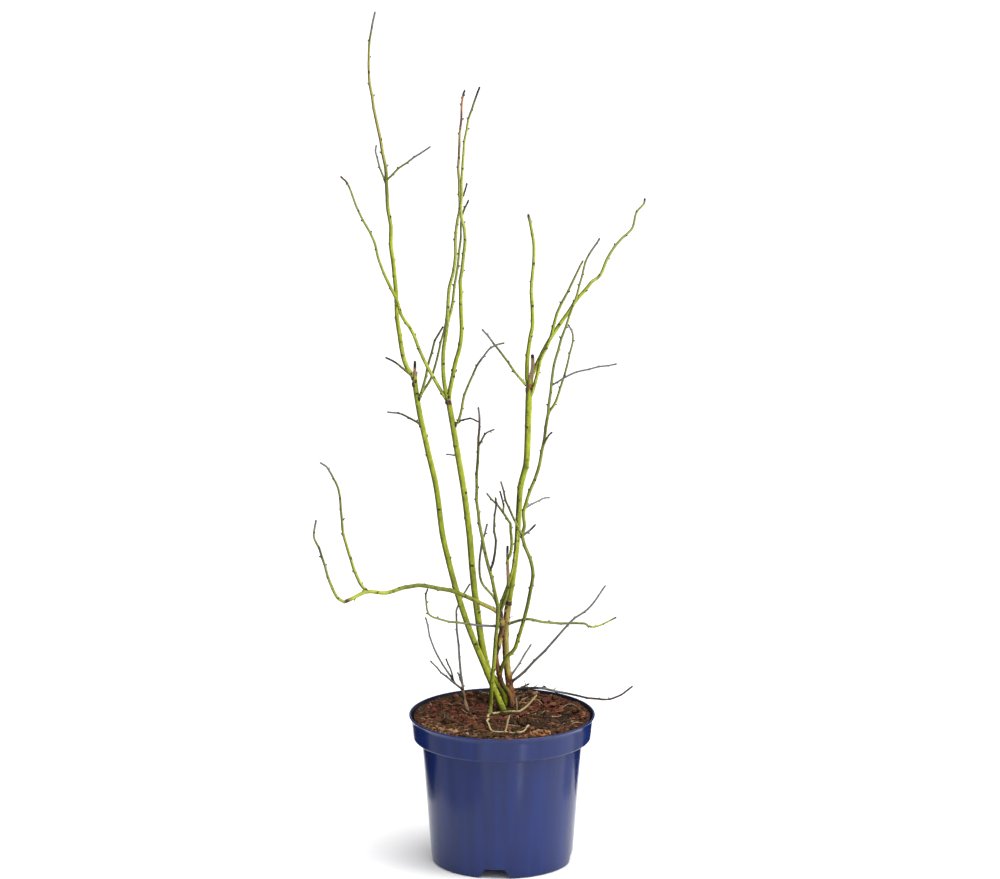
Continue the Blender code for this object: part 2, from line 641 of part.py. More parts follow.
def build_limbs(finishes):
    around = Surroundings()
    built = []
    for node in dict.fromkeys(limb.node for limb in LIMBS.values()):
        limbs = limbs_of(node)
        finish = finishes(node)
        body = limb_object(limbs[0], finish=finish)
        body.name = node
        extras = [limb_object(limb, finish=finish) for limb in limbs[1:]]
        if is_mass(node):
            extras += buds_of(node, around, finish)
        if extras:
            boolean(body, extras, "UNION")
        near = set().union(*(around.neighbours(limb, 2 * GAP) for limb in limbs))
        sleeves = [limb_object(LIMBS[name], GAP) for name in sorted(near & set(built))]
        if sleeves:
            boolean(body, sleeves, "DIFFERENCE")
        keep_largest(body)
        body.data.shade_smooth()
        body.data.set_sharp_from_angle(angle=math.radians(LIMB_EDGE))
        built += [limb.name for limb in limbs]


def arc(centre, radius, start, end, steps):
    """Points of an arc in the profile's plane, radius outwards and height upwards."""
    points = []
    for k in range(steps + 1):
        angle = math.radians(start + (end - start) * k / steps)
        points.append((centre[0] + radius * math.cos(angle), centre[1] + radius * math.sin(angle)))
    return points


def turned(bm, profile, sides):
    """Turns a profile, given from its lowest point on the axis to its last one, round the Z axis."""
    rings = []
    for radius, height in profile:
        if radius < 1e-6:
            rings.append([bm.verts.new((0, 0, height))])
            continue
        rings.append([bm.verts.new((radius * math.cos(2 * math.pi * k / sides),
                                    radius * math.sin(2 * math.pi * k / sides), height))
                      for k in range(sides)])
    for lower, higher in zip(rings, rings[1:]):
        for k in range(sides):
            following = (k + 1) % sides
            if len(lower) == 1:
                bm.faces.new((lower[0], higher[k], higher[following]))
            elif len(higher) == 1:
                bm.faces.new((lower[k], lower[following], higher[0]))
            else:
                bm.faces.new((lower[k], lower[following], higher[following], higher[k]))
    return rings


def wall_profile(inset):
    """The wall's outer side from above the foot to under the lip, moved inwards and its step raised."""
    slope = (WALL_TOP_RADIUS - BASE_RADIUS) / WALL_TOP
    lift = inset * STEP_LIFT
    corner = (BAND_RADIUS - inset - BAND_ROUND, BAND_BOTTOM + BAND_ROUND + lift)
    points = [(BASE_RADIUS + slope * FLOOR - inset, FLOOR)]
    points.append((WALL_TOP_RADIUS - slope * WALL_RING - inset, WALL_TOP - WALL_RING))
    points.append((WALL_TOP_RADIUS - inset, WALL_TOP + lift))
    points += arc(corner, BAND_ROUND, -BAND_CURL, 0, 3)
    points.append((BAND_RADIUS - inset, POT_HEIGHT - 3 * LIP_BEAD))
    return points


def build_pot(finish):
    bead = (LIP_RADIUS - LIP_BEAD, POT_HEIGHT - LIP_BEAD)
    profile = [(0, 0)]
    profile += arc((BASE_RADIUS - BASE_ROUND, BASE_ROUND), BASE_ROUND, -90, 0, 2)
    profile += wall_profile(0.0)[1:]
    profile += arc(bead, LIP_BEAD, *LIP_CURL, 5)
    profile += reversed(wall_profile(POT_WALL))
    profile.append((0, FLOOR))
    bm = bmesh.new()
    turned(bm, profile, POT_SIDES)
    pot = add_object("pot", bm, finish)
    boolean(pot, [slot_cutter(k) for k in range(SLOT_COUNT)], "DIFFERENCE")
    pot.data.shade_smooth()
    pot.data.set_sharp_from_angle(angle=math.radians(POT_EDGE))


def slot_cutter(order):
    """A trapezoid bar that points outwards and reaches below the foot."""
    above = SLOT_WIDTH_ABOVE / 2
    slant = (SLOT_WIDTH_BELOW / 2 - above) / SLOT_HEIGHT
    below = SLOT_WIDTH_BELOW / 2 + slant * SLOT_UNDER
    outline = [(-below, -SLOT_UNDER), (below, -SLOT_UNDER), (above, SLOT_HEIGHT), (-above, SLOT_HEIGHT)]
    bm = bmesh.new()
    inner = [bm.verts.new((SLOT_INNER_RADIUS, y, z)) for y, z in outline]
    outer = [bm.verts.new((BASE_RADIUS + SLOT_PAST, y, z)) for y, z in outline]
    bm.faces.new(inner)
    bm.faces.new(reversed(outer))
    for k in range(len(outline)):
        following = (k + 1) % len(outline)
        bm.faces.new((inner[k], outer[k], outer[following], inner[following]))
    angle = math.radians(SLOT_FIRST_ANGLE + 360 / SLOT_COUNT * order)
    bmesh.ops.rotate(bm, verts=bm.verts, matrix=Matrix.Rotation(angle, 3, "Z"))
    return add_object("slot_cutter", bm)


def compost_height(x, y, edge):
    """Lumps of bark: a few crossed waves, with the valleys held at the compost's level."""
    lumps = sum(height * math.sin(x * along_x + y * along_y + start)
                for along_x, along_y, start, height in COMPOST_WAVES)
    highest = sum(wave[-1] for wave in COMPOST_WAVES)
    fade = min(1.0, max(COMPOST_LEAST, (edge - math.hypot(x, y)) / COMPOST_FADE))
    return COMPOST_TOP + max(0.0, lumps / highest) * COMPOST_BUMP * fade


def build_compost(finish):
    inner = POT_WALL + GAP
    profile = [(0, FLOOR + GAP)]
    wall = wall_profile(inner)
    profile.append((wall[0][0], FLOOR + GAP))
    profile += [point for point in wall[1:] if point[1] < COMPOST_TOP - COMPOST_RIM]
    edge = BAND_RADIUS - inner
    profile.append((edge, COMPOST_TOP))
    count = len(profile)
    profile += [(edge * (1 - k / COMPOST_RINGS), COMPOST_TOP) for k in range(1, COMPOST_RINGS + 1)]
    bm = bmesh.new()
    rings = turned(bm, profile, COMPOST_SIDES)
    for ring in rings[count:]:
        for vert in ring:
            vert.co.z = compost_height(vert.co.x, vert.co.y, edge)
    compost = add_object("compost", bm, finish)
    level = COMPOST_TOP + COMPOST_BUMP + COMPOST_REACH
    sleeves = [limb_object(limb, GAP) for limb in LIMBS.values()
               if min(point.z for point in limb.course) < level]
    boolean(compost, sleeves, "DIFFERENCE")
    keep_largest(compost)
    compost.data.shade_smooth()
    compost.data.set_sharp_from_angle(angle=math.radians(COMPOST_EDGE))


def clear_scene():
    for obj in list(bpy.data.objects):
        bpy.data.objects.remove(obj)


def main():
    clear_scene()
    green = material("green_bark", LEAF_GREEN, 0.55)
    brown = material("old_bark", BARK_BROWN, 0.85)
    grey = material("dead_bark", TWIG_GREY, 0.85)
    straw = material("straw", STRAW, 0.75)
    green_twig = material("green_twigs", LEAF_GREEN, 0.55)

    def finish_of(node):
        if "straw" in node:
            return straw
        if "dead" in node or "grey" in node:
            return grey
        if node == "stem_old":
            return brown
        return green_twig if is_mass(node) else green

    place_limbs()
    build_pot(material("pot_plastic", POT_BLUE, 0.25))
    build_compost(material("compost", COMPOST_BROWN, 0.9))
    build_limbs(finish_of)


main()
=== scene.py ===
# A blueberry bush in winter, bare, in a blue nursery pot.
# Sizes below are millimetres unless a note says otherwise.
import bisect
import math
import random

import bmesh
import bpy
from mathutils import Matrix, Vector, noise
from mathutils.kdtree import KDTree


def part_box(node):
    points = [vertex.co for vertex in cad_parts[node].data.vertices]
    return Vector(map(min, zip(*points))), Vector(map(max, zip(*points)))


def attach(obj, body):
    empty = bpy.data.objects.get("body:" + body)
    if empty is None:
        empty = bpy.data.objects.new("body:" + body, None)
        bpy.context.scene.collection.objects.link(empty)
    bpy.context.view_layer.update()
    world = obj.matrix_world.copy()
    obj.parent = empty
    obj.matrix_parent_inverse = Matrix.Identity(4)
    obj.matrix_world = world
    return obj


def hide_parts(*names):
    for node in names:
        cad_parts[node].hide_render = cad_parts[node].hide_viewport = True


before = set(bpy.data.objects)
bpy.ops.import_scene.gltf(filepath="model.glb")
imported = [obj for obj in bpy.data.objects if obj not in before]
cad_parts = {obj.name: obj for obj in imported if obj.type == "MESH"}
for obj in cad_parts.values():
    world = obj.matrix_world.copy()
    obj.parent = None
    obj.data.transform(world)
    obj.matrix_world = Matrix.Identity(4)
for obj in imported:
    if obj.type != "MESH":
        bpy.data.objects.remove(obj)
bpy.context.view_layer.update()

mm = 0.001
gap = 0.3  # the solids' clearance where a limb grows on from another
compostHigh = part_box("compost")[1] / mm
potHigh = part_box("pot")[1] / mm
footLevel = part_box("cane_left")[0].z / mm


# helpers for finishes and meshes

def newMaterial(name, rough, shine=0.5, colour=None):
    material = bpy.data.materials.new(name)
    material.use_nodes = True
    tree = material.node_tree
    shader = tree.nodes["Principled BSDF"]
    shader.inputs["Roughness"].default_value = rough
    shader.inputs["Specular IOR Level"].default_value = shine
    if colour:
        shader.inputs["Base Color"].default_value = (*colour, 1.0)
    return material, tree, shader


def addNoise(tree, size, detail, along=1.0):
    # size is the width of one blotch, and a low along draws it out upwards
    coords = tree.nodes.new("ShaderNodeTexCoord")
    mapping = tree.nodes.new("ShaderNodeMapping")
    mapping.inputs["Scale"].default_value = (1.0, 1.0, along)
    texture = tree.nodes.new("ShaderNodeTexNoise")
    texture.inputs["Scale"].default_value = 1.0 / (size * mm)
    texture.inputs["Detail"].default_value = detail
    tree.links.new(coords.outputs["Object"], mapping.inputs["Vector"])
    tree.links.new(mapping.outputs["Vector"], texture.inputs["Vector"])
    return texture.outputs["Fac"]


def addRange(tree, source, between, to):
    spread = tree.nodes.new("ShaderNodeMapRange")
    spread.inputs["From Min"].default_value, spread.inputs["From Max"].default_value = between
    spread.inputs["To Min"].default_value, spread.inputs["To Max"].default_value = to
    tree.links.new(source, spread.inputs["Value"])
    return spread.outputs["Result"]


def addBump(tree, shader, source, strength, distance):
    bump = tree.nodes.new("ShaderNodeBump")
    bump.inputs["Strength"].default_value = strength
    bump.inputs["Distance"].default_value = distance * mm
    tree.links.new(source, bump.inputs["Height"])
    tree.links.new(bump.outputs["Normal"], shader.inputs["Normal"])


def addColours(tree, shader, source, stops):
    ramp = tree.nodes.new("ShaderNodeValToRGB")
    while len(ramp.color_ramp.elements) < len(stops):
        ramp.color_ramp.elements.new(0.5)
    for element, (place, colour) in zip(ramp.color_ramp.elements, stops):
        element.position = place
        element.color = (*colour, 1.0)
    tree.links.new(source, ramp.inputs["Fac"])
    tree.links.new(ramp.outputs["Color"], shader.inputs["Base Color"])


def shaded(colour, factor):
    return tuple(min(1.0, channel * factor) for channel in colour)


def addObject(name, data):
    added = bpy.data.objects.new(name, data)
    bpy.context.scene.collection.objects.link(added)
    return added


def ballShape(subdivisions):
    bm = bmesh.new()
    bmesh.ops.create_icosphere(bm, subdivisions=subdivisions, radius=1.0)
    points = [vert.co.copy() for vert in bm.verts]
    faces = [tuple(vert.index for vert in face.verts) for face in bm.faces]
    bm.free()
    return points, faces


class Pile:
    # points and faces that become one piece
    def __init__(self):
        self.points = []
        self.faces = []
        self.tones = []

    def addFace(self, corners, tone):
        self.faces.append(corners)
        self.tones.append(tone)

    def addFaces(self, first, faces, tone):
        for corners in faces:
            self.addFace(tuple(first + corner for corner in corners), tone)

    def addBand(self, lower, higher, tones):
        # joins two rings, one tone for each side
        for k, tone in enumerate(tones):
            following = (k + 1) % len(tones)
            self.addFace((lower + k, lower + following, higher + following, higher + k), tone)

    def addFan(self, ring, sides, tip, tone, isFoot=False):
        # closes a ring with a point
        for k in range(sides):
            a, b = ring + k, ring + (k + 1) % sides
            self.addFace((b, a, tip) if isFoot else (a, b, tip), tone)

    def addCap(self, ring, sides, tone, isFoot=False):
        # closes a ring flat
        corners = reversed(range(sides)) if isFoot else range(sides)
        self.addFace(tuple(ring + k for k in corners), tone)

    def triangles(self):
        return sum(len(face) - 2 for face in self.faces)


finishes = {}


def makePiece(name, pile, kind, make, nodes=(), smooth=True):
    mesh = bpy.data.meshes.new(name)
    mesh.from_pydata([point * mm for point in pile.points], [], pile.faces)
    used = sorted(set(pile.tones))
    for tone in used:
        if (kind, tone) not in finishes:
            finishes[kind, tone] = make(tone)
        mesh.materials.append(finishes[kind, tone])
    order = {tone: index for index, tone in enumerate(used)}
    mesh.polygons.foreach_set("material_index", [order[tone] for tone in pile.tones])
    mesh.polygons.foreach_set("use_smooth", [smooth] * len(pile.faces))
    mesh.update()
    piece = addObject(name, mesh)
    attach(piece, "root")
    if nodes:
        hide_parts(*nodes)


# bark finishes

# colour, roughness and grain of each stretch of bark
barkTones = {
    "fresh": ((0.262, 0.305, 0.018), 0.38, "smooth"),
    "lime": ((0.360, 0.395, 0.050), 0.38, "smooth"),
    "olive": ((0.122, 0.145, 0.010), 0.42, "smooth"),
    "sage": ((0.185, 0.205, 0.040), 0.44, "smooth"),
    "moss": ((0.066, 0.082, 0.010), 0.48, "smooth"),
    "khaki": ((0.300, 0.270, 0.050), 0.46, "smooth"),
    "tawny": ((0.185, 0.105, 0.030), 0.50, "smooth"),
    "amber": ((0.430, 0.190, 0.050), 0.48, "smooth"),
    "wine": ((0.105, 0.034, 0.020), 0.50, "smooth"),
    "rosy": ((0.250, 0.150, 0.095), 0.62, "wrinkled"),
    "umber": ((0.050, 0.028, 0.016), 0.75, "wrinkled"),
    "russet": ((0.235, 0.092, 0.034), 0.80, "flaky"),
    "beige": ((0.370, 0.315, 0.080), 0.62, "flaky"),
    "ash": ((0.140, 0.134, 0.124), 0.80, "wrinkled"),
    "soot": ((0.020, 0.017, 0.015), 0.80, "wrinkled"),
    "straw": ((0.420, 0.350, 0.170), 0.70, "wrinkled"),
}
# patches of the first two break up a tone; as painted shade its side facing -X takes the third, as painted
# light its side facing +X the fourth
toneKin = {
    "fresh": ("fresh", "olive", "olive", "lime"),
    "lime": ("lime", "fresh", "olive", "lime"),
    "olive": ("sage", "moss", "moss", "fresh"),
    "sage": ("sage", "olive", "olive", "fresh"),
    "moss": ("olive", "umber", "umber", "olive"),
    "khaki": ("khaki", "tawny", "moss", "khaki"),
    "tawny": ("khaki", "umber", "umber", "tawny"),
    "amber": ("tawny", "amber", "wine", "amber"),
    "ash": ("soot", "ash", "ash", "ash"),
    "russet": ("umber", "rosy", "umber", "russet"),
    "beige": ("khaki", "russet", "russet", "beige"),
    "straw": ("beige", "straw", "beige", "straw"),
    "umber": ("russet", "soot", "soot", "russet"),
}
# blotches and pores: width, detail and how far they are drawn out along the limb
mottledBark = {
    "blotches": (3.5, 4.0, 0.3), "darkest": 0.70, "brightest": 1.28, "shine": 0.19,
    "pores": (0.5, 5.0, 0.25), "smoothBump": 0.35, "roughBump": 0.7, "bumpHeight": 0.12,
}
plainBark = {"shine": 0.4, "pores": (0.4, 4.0, 0.3), "bump": 0.3, "bumpHeight": 0.08}


def barkMaterial(tone):
    # on a limb of its own: mottled along the grain
    colour, rough, grain = barkTones[tone]
    material, tree, shader = newMaterial("bark_" + tone, rough, mottledBark["shine"])
    dark, bright = shaded(colour, mottledBark["darkest"]), shaded(colour, mottledBark["brightest"])
    blotches = addNoise(tree, *mottledBark["blotches"])
    addColours(tree, shader, blotches, ((0.30, dark), (0.50, colour), (0.72, bright)))
    strength = mottledBark["smoothBump" if grain == "smooth" else "roughBump"]
    addBump(tree, shader, addNoise(tree, *mottledBark["pores"]), strength, mottledBark["bumpHeight"])
    return material


def twigMaterial(tone):
    # on joined twigs and buds: one colour for each stretch
    colour, rough, _ = barkTones[tone]
    material, tree, shader = newMaterial("twig_" + tone, rough, plainBark["shine"], colour)
    addBump(tree, shader, addNoise(tree, *plainBark["pores"]), plainBark["bump"], plainBark["bumpHeight"])
    return material


# limbs follow the same rule as the solids, carried to a finer skin

limbRule = {
    "courseStep": 2.0, "headingReach": 3.0, "leadIn": 1.5, "shared": 0.5,
    "firstBud": (0.5, 0.8), "lastBud": 0.25, "budSpread": (0.8, 1.2),
    "rootInternode": 1.05, "tipShortening": 0.35, "budTurn": 144.0,
    "outwards": 0.8, "forwards": 0.6, "near": 12.0, "lipWidth": 6.0, "clear": 1.0,
    "internode": 18, "kink": 0.35, "grainShift": 50,
}
limbs = {}


def lengthsOf(points):
    total = [0.0]
    for a, b in zip(points, points[1:]):
        total.append(total[-1] + (b - a).length)
    return total


def smoothCourse(knots):
    step = limbRule["courseStep"]
    if len(knots) == 2:
        count = max(2, math.ceil((knots[1] - knots[0]).length / step))
        return [knots[0].lerp(knots[1], k / count) for k in range(count + 1)]
    spans = [(b - a).length for a, b in zip(knots, knots[1:])]
    slopes = [(knots[1] - knots[0]) / spans[0]]
    for k in range(1, len(knots) - 1):
        slopes.append((knots[k + 1] - knots[k - 1]) / (spans[k - 1] + spans[k]))
    slopes.append((knots[-1] - knots[-2]) / spans[-1])
    points = [knots[0]]
    for k, span in enumerate(spans):
        count = max(2, math.ceil(span / step))
        for i in range(1, count + 1):
            u = i / count
            start = knots[k] * (2 * u**3 - 3 * u**2 + 1) + slopes[k] * span * (u**3 - 2 * u**2 + u)
            end = knots[k + 1] * (3 * u**2 - 2 * u**3) + slopes[k + 1] * span * (u**3 - u**2)
            points.append(start + end)
    return points


def budPlaces(name, length, internode):
    rule = random.Random("buds " + name)
    places = []
    at = internode * rule.uniform(*limbRule["firstBud"])
    while at < length - internode * limbRule["lastBud"]:
        places.append(at)
        shortened = limbRule["rootInternode"] - limbRule["tipShortening"] * at / length
        at += internode * shortened * rule.uniform(*limbRule["budSpread"])
    return places


def across(direction):
    level = Vector((0, 0, 1)).cross(direction)
    if level.length < 1e-3:
        level = Vector((1, 0, 0))
    level.normalize()
    return level, direction.cross(level).normalized()


def budSide(name, order, direction):
    # buds climb round the shoot by two fifths of a turn
    start = random.Random("turn " + name).uniform(0, 2 * math.pi)
    angle = start + math.radians(limbRule["budTurn"]) * order
    level, upper = across(direction)
    return level * math.cos(angle) + upper * math.sin(angle)


def withKinks(name, course, internode, kink):
    along = lengthsOf(course)
    buds = budPlaces(name, along[-1], internode)
    stops = [0.0] + buds + [along[-1]]
    shifts = [Vector((0, 0, 0))]
    for order, at in enumerate(buds):
        k = min(range(len(along)), key=lambda i: abs(along[i] - at))
        a = course[max(k - 1, 0)]
        b = course[min(k + 1, len(course) - 1)]
        shifts.append(budSide(name, order, (b - a).normalized()) * kink)
    shifts.append(Vector((0, 0, 0)))
    moved = []
    for point, at in zip(course, along):
        k = 1
        while k < len(stops) - 1 and stops[k] < at:
            k += 1
        share = (at - stops[k - 1]) / (stops[k] - stops[k - 1])
        moved.append(point + shifts[k - 1].lerp(shifts[k], share))
    return moved, lengthsOf(moved)


def readBark(text):
    # "olive, fresh 4" is olive from the foot and fresh from 4 hundredths of the length
    stops = []
    for words in text.split(", "):
        tone, _, percent = words.partition(" ")
        stops.append((round(float(percent or 0) / 100, 4), tone))
    return stops


class Limb:
    def __init__(self, name, facts, course, flatFoot):
        self.name = name
        self.node = facts.get("node", name)
        self.girth = facts["girth"]
        if not isinstance(self.girth[0], tuple):
            self.girth = ((0, self.girth[0]), (1, self.girth[1]))
        self.bark = readBark(facts["bark"])
        self.scars = facts.get("scars", ())
        self.flatFoot = flatFoot
        self.carrier = facts["on"][0] if "on" in facts else None
        self.follows = facts.get("after")
        internode = facts.get("internode", limbRule["internode"])
        kink = facts.get("kink", limbRule["kink"])
        self.course, self.along = withKinks(name, course, internode, kink)
        self.length = self.along[-1]
        self.buds = budPlaces(name, self.length, internode)
        self.swells = []
        rule = random.Random("grain " + name)
        reach = limbRule["grainShift"]
        self.shift = Vector([rule.uniform(-reach, reach) for _ in range(3)])

    def point(self, at):
        at = min(max(at, 0.0), self.length)
        k = min(max(bisect.bisect_left(self.along, at), 1), len(self.along) - 1)
        before, after = self.along[k - 1], self.along[k]
        return self.course[k - 1].lerp(self.course[k], (at - before) / (after - before))

    def barkRadius(self, at):
        radius = self.radius(at)
        less = skinSettings["lessOnThick"] * min(radius, skinSettings["thickest"])
        return radius + skinSettings["thicker"] - less

    def heading(self, at):
        reach = limbRule["headingReach"]
        return (self.point(at + reach) - self.point(at - reach)).normalized()

    def radius(self, at):
        share = min(max(at / self.length, 0.0), 1.0)
        for (s0, r0), (s1, r1) in zip(self.girth, self.girth[1:]):
            if share <= s1:
                return r0 + (r1 - r0) * (share - s0) / (s1 - s0)
        return self.girth[-1][1]


def grow(name, facts):
    lead = None
    lying = facts.get("lying", False)
    node = facts.get("node", name)
    if "foot" in facts:
        root = Vector((*facts["foot"], footLevel))
    elif "on" in facts:
        carrier = limbs[facts["on"][0]]
        root = carrier.point(facts["on"][1] * carrier.length)
    else:
        carrier = limbs[facts["after"]]
        lead = carrier.heading(carrier.length)
        root = carrier.point(carrier.length) - lead * limbRule["shared"]
        if carrier.node != node:
            root = carrier.point(carrier.length) + lead * gap
    reach = Vector(facts["reach"])
    right = Vector((reach.y, -reach.x, 0)) if lying else Vector((reach.z, 0, -reach.x))
    right.normalize()
    knots = [root]
    if lead:
        knots.append(root + lead * limbRule["leadIn"])
    knots += [root + reach * share + right * aside for share, aside in facts.get("bends", ())]
    knots.append(root + reach)
    limbs[name] = Limb(name, facts, smoothCourse(knots), "foot" in facts and not lying)


# reach is from root to tip; a bend is a share of it and how far the limb swings to its right there;
# bark names the tone from each hundredth of the length on, with specks of both between two;
# girth is the radius at root and tip, or at shares of the length; scars are dark ring scars
leftCane = {
    "cane_left": dict(
        foot=(1, 39), reach=(-90, 27, 364), internode=30, kink=0.15,
        bends=((0.11, -6), (0.28, -14.5), (0.49, -16.5), (0.65, -10.5), (0.82, -9), (0.94, -5.5)),
        girth=((0, 3.5), (0.04, 2.9), (0.3, 2.75), (0.92, 2.5), (0.962, 2.3), (0.972, 1.3), (1, 0.85)),
        bark="olive, fresh 4, fresh 95.5, rosy 96.5, rosy 97.8, soot 98.4"),
    "bough_left": dict(
        on=("cane_left", 0.95), reach=(-24, 21, 153), girth=(2.1, 1.75),
        bends=((0.1, -6.5), (0.22, -8.5), (0.4, -8), (0.67, -4), (0.87, -3)),
        bark="rosy, lime 5, fresh 30, fresh 100"),
    "left_leader": dict(
        node="twigs_left_top", after="bough_left", reach=(-16, 32, 217), girth=(1.7, 0.65),
        bends=((0.1, -2), (0.27, -1), (0.64, -10), (0.79, -10), (0.93, -4.5)),
        bark="fresh, olive 22, khaki 35, khaki 80, olive 88, ash 94"),
    "left_leader_right": dict(
        node="twigs_left_top", on=("left_leader", 0.22), reach=(45, -27, 40), girth=(0.8, 0.5),
        internode=13, bends=((0.36, -2),), bark="sage, sage 40, ash 70"),
    "left_leader_left": dict(
        node="twigs_left_top", on=("left_leader", 0.19), reach=(-11, 26, 38), girth=(0.8, 0.5),
        internode=13, bends=((0.84, -2.5),), bark="fresh, sage 45, ash 70"),
    "twigs_left_fork": dict(
        on=("cane_left", 0.95), reach=(-29, -20, 27), girth=(1.0, 0.55), internode=13, bends=((0.69, 2),),
        bark="umber, olive 15, moss 60, soot 80"),
    "twigs_left_low": dict(
        on=("cane_left", 0.82), reach=(-36, 27, 8), girth=(0.85, 0.5), internode=13, bends=((0.58, 3.5),),
        bark="umber, olive 15, moss 50, ash 85"),
    "left_knob_front": dict(
        node="twigs_left_knob", on=("cane_left", 0.90), reach=(27, -33, 81), girth=(1.2, 0.6),
        internode=16, bends=((0.02, 3), (0.77, -2.5)), bark="soot, fresh 6, olive 60, moss 100"),
    "left_knob_back": dict(
        node="twigs_left_knob", on=("left_knob_front", 0.06), reach=(26, 15, 74), girth=(1.0, 0.6),
        internode=16, bends=((0.27, 4.5),), bark="olive, olive 60, moss 100"),
}
middleCane = {
    "cane_middle": dict(
        foot=(4, 58), reach=(-58, -36, 331), internode=30, kink=0.15,
        bends=((0.05, 0), (0.12, -11), (0.19, -12.5), (0.38, -10), (0.65, -2.5)),
        girth=((0, 3.9), (0.05, 3.3), (0.35, 3.1), (0.95, 2.7), (1, 2.6)),
        bark="olive, fresh 4, fresh 98.5, tawny 100"),
    "bough_outer": dict(
        after="cane_middle", reach=(12, -24, 129), girth=((0, 2.5), (0.06, 2.0), (1, 1.6)),
        bends=((0.31, 2.5), (0.47, 6), (0.59, 6)), scars=(0.27,), bark="tawny, fresh 4, fresh 100"),
    "twigs_outer": dict(
        after="bough_outer", reach=(20, -86, 215), girth=(1.55, 0.6),
        bends=((0.2, 1), (0.28, -1.5), (0.33, -5), (0.45, -7.5), (0.69, -9.5), (0.84, -7.5)),
        bark="fresh, lime 50, lime 75, olive 90, soot 97"),
    "bough_inner": dict(
        on=("cane_middle", 1.0), reach=(-2, -16, 79), girth=(1.9, 1.6),
        bends=((0.15, -3), (0.42, -4.5), (0.68, -4)), bark="tawny, fresh 8, fresh 100"),
    "inner_leader": dict(
        node="twigs_inner", after="bough_inner", reach=(19, -61, 256), girth=(1.55, 0.65),
        bends=((0.17, -0.5), (0.26, 3), (0.44, 2), (0.52, 4), (0.69, -0.5), (0.98, -1.5)),
        scars=(0.41,),
        bark=("fresh, lime 50, khaki 66, tawny 76, khaki 82, wine 86, wine 90, amber 93, amber 97, "
              "umber 98.5")),
    "inner_leader_right": dict(
        node="twigs_inner", on=("inner_leader", 0.01), reach=(22, 22, 126), girth=(1.2, 0.55),
        bends=((0.14, 1.5), (0.68, -1), (0.85, -4)), bark="lime, sage 50, moss 93, soot 100"),
    "inner_leader_short": dict(
        node="twigs_inner", on=("inner_leader", 0.54), reach=(7, 19, 15), girth=(0.7, 0.45), internode=10,
        bends=((0.36, 1),), bark="umber, soot 40"),
    "bough_crossing": dict(
        on=("cane_middle", 0.995), reach=(-65, -12, 137), girth=(1.5, 1.15),
        bends=((0.3, -3), (0.58, -1), (0.7, -3), (0.8, -0.5)), bark="tawny, lime 5, fresh 100"),
    "twigs_crossing": dict(
        after="bough_crossing", reach=(-42, -36, 107), girth=(1.1, 0.6),
        bends=((0.15, 1), (0.31, 4), (0.68, 2), (0.92, 3.5)), bark="fresh, sage 60, sage 85, umber 95"),
    "middle_side": dict(
        node="twigs_middle_side", on=("cane_middle", 0.93), reach=(52, -47, 95), girth=(1.15, 0.55),
        internode=16, bends=((0.04, 4), (0.33, -5.5), (0.66, -10.5), (0.85, -9.5), (0.94, -5.5)),
        bark="soot, fresh 6, sage 50, moss 68, soot 72, ash 76"),
    "middle_arch": dict(
        node="twigs_middle_side", on=("middle_side", 0.05), reach=(22, -15, 4), girth=(0.6, 0.4),
        internode=11, bends=((0.18, -2.5), (0.45, -3.5), (0.68, -3.5)), bark="umber, soot 20"),
    "twig_middle_hair": dict(
        on=("cane_middle", 0.83), reach=(-12, 14, -3), girth=(0.5, 0.35), internode=9,
        bark="soot, ash 30"),
}
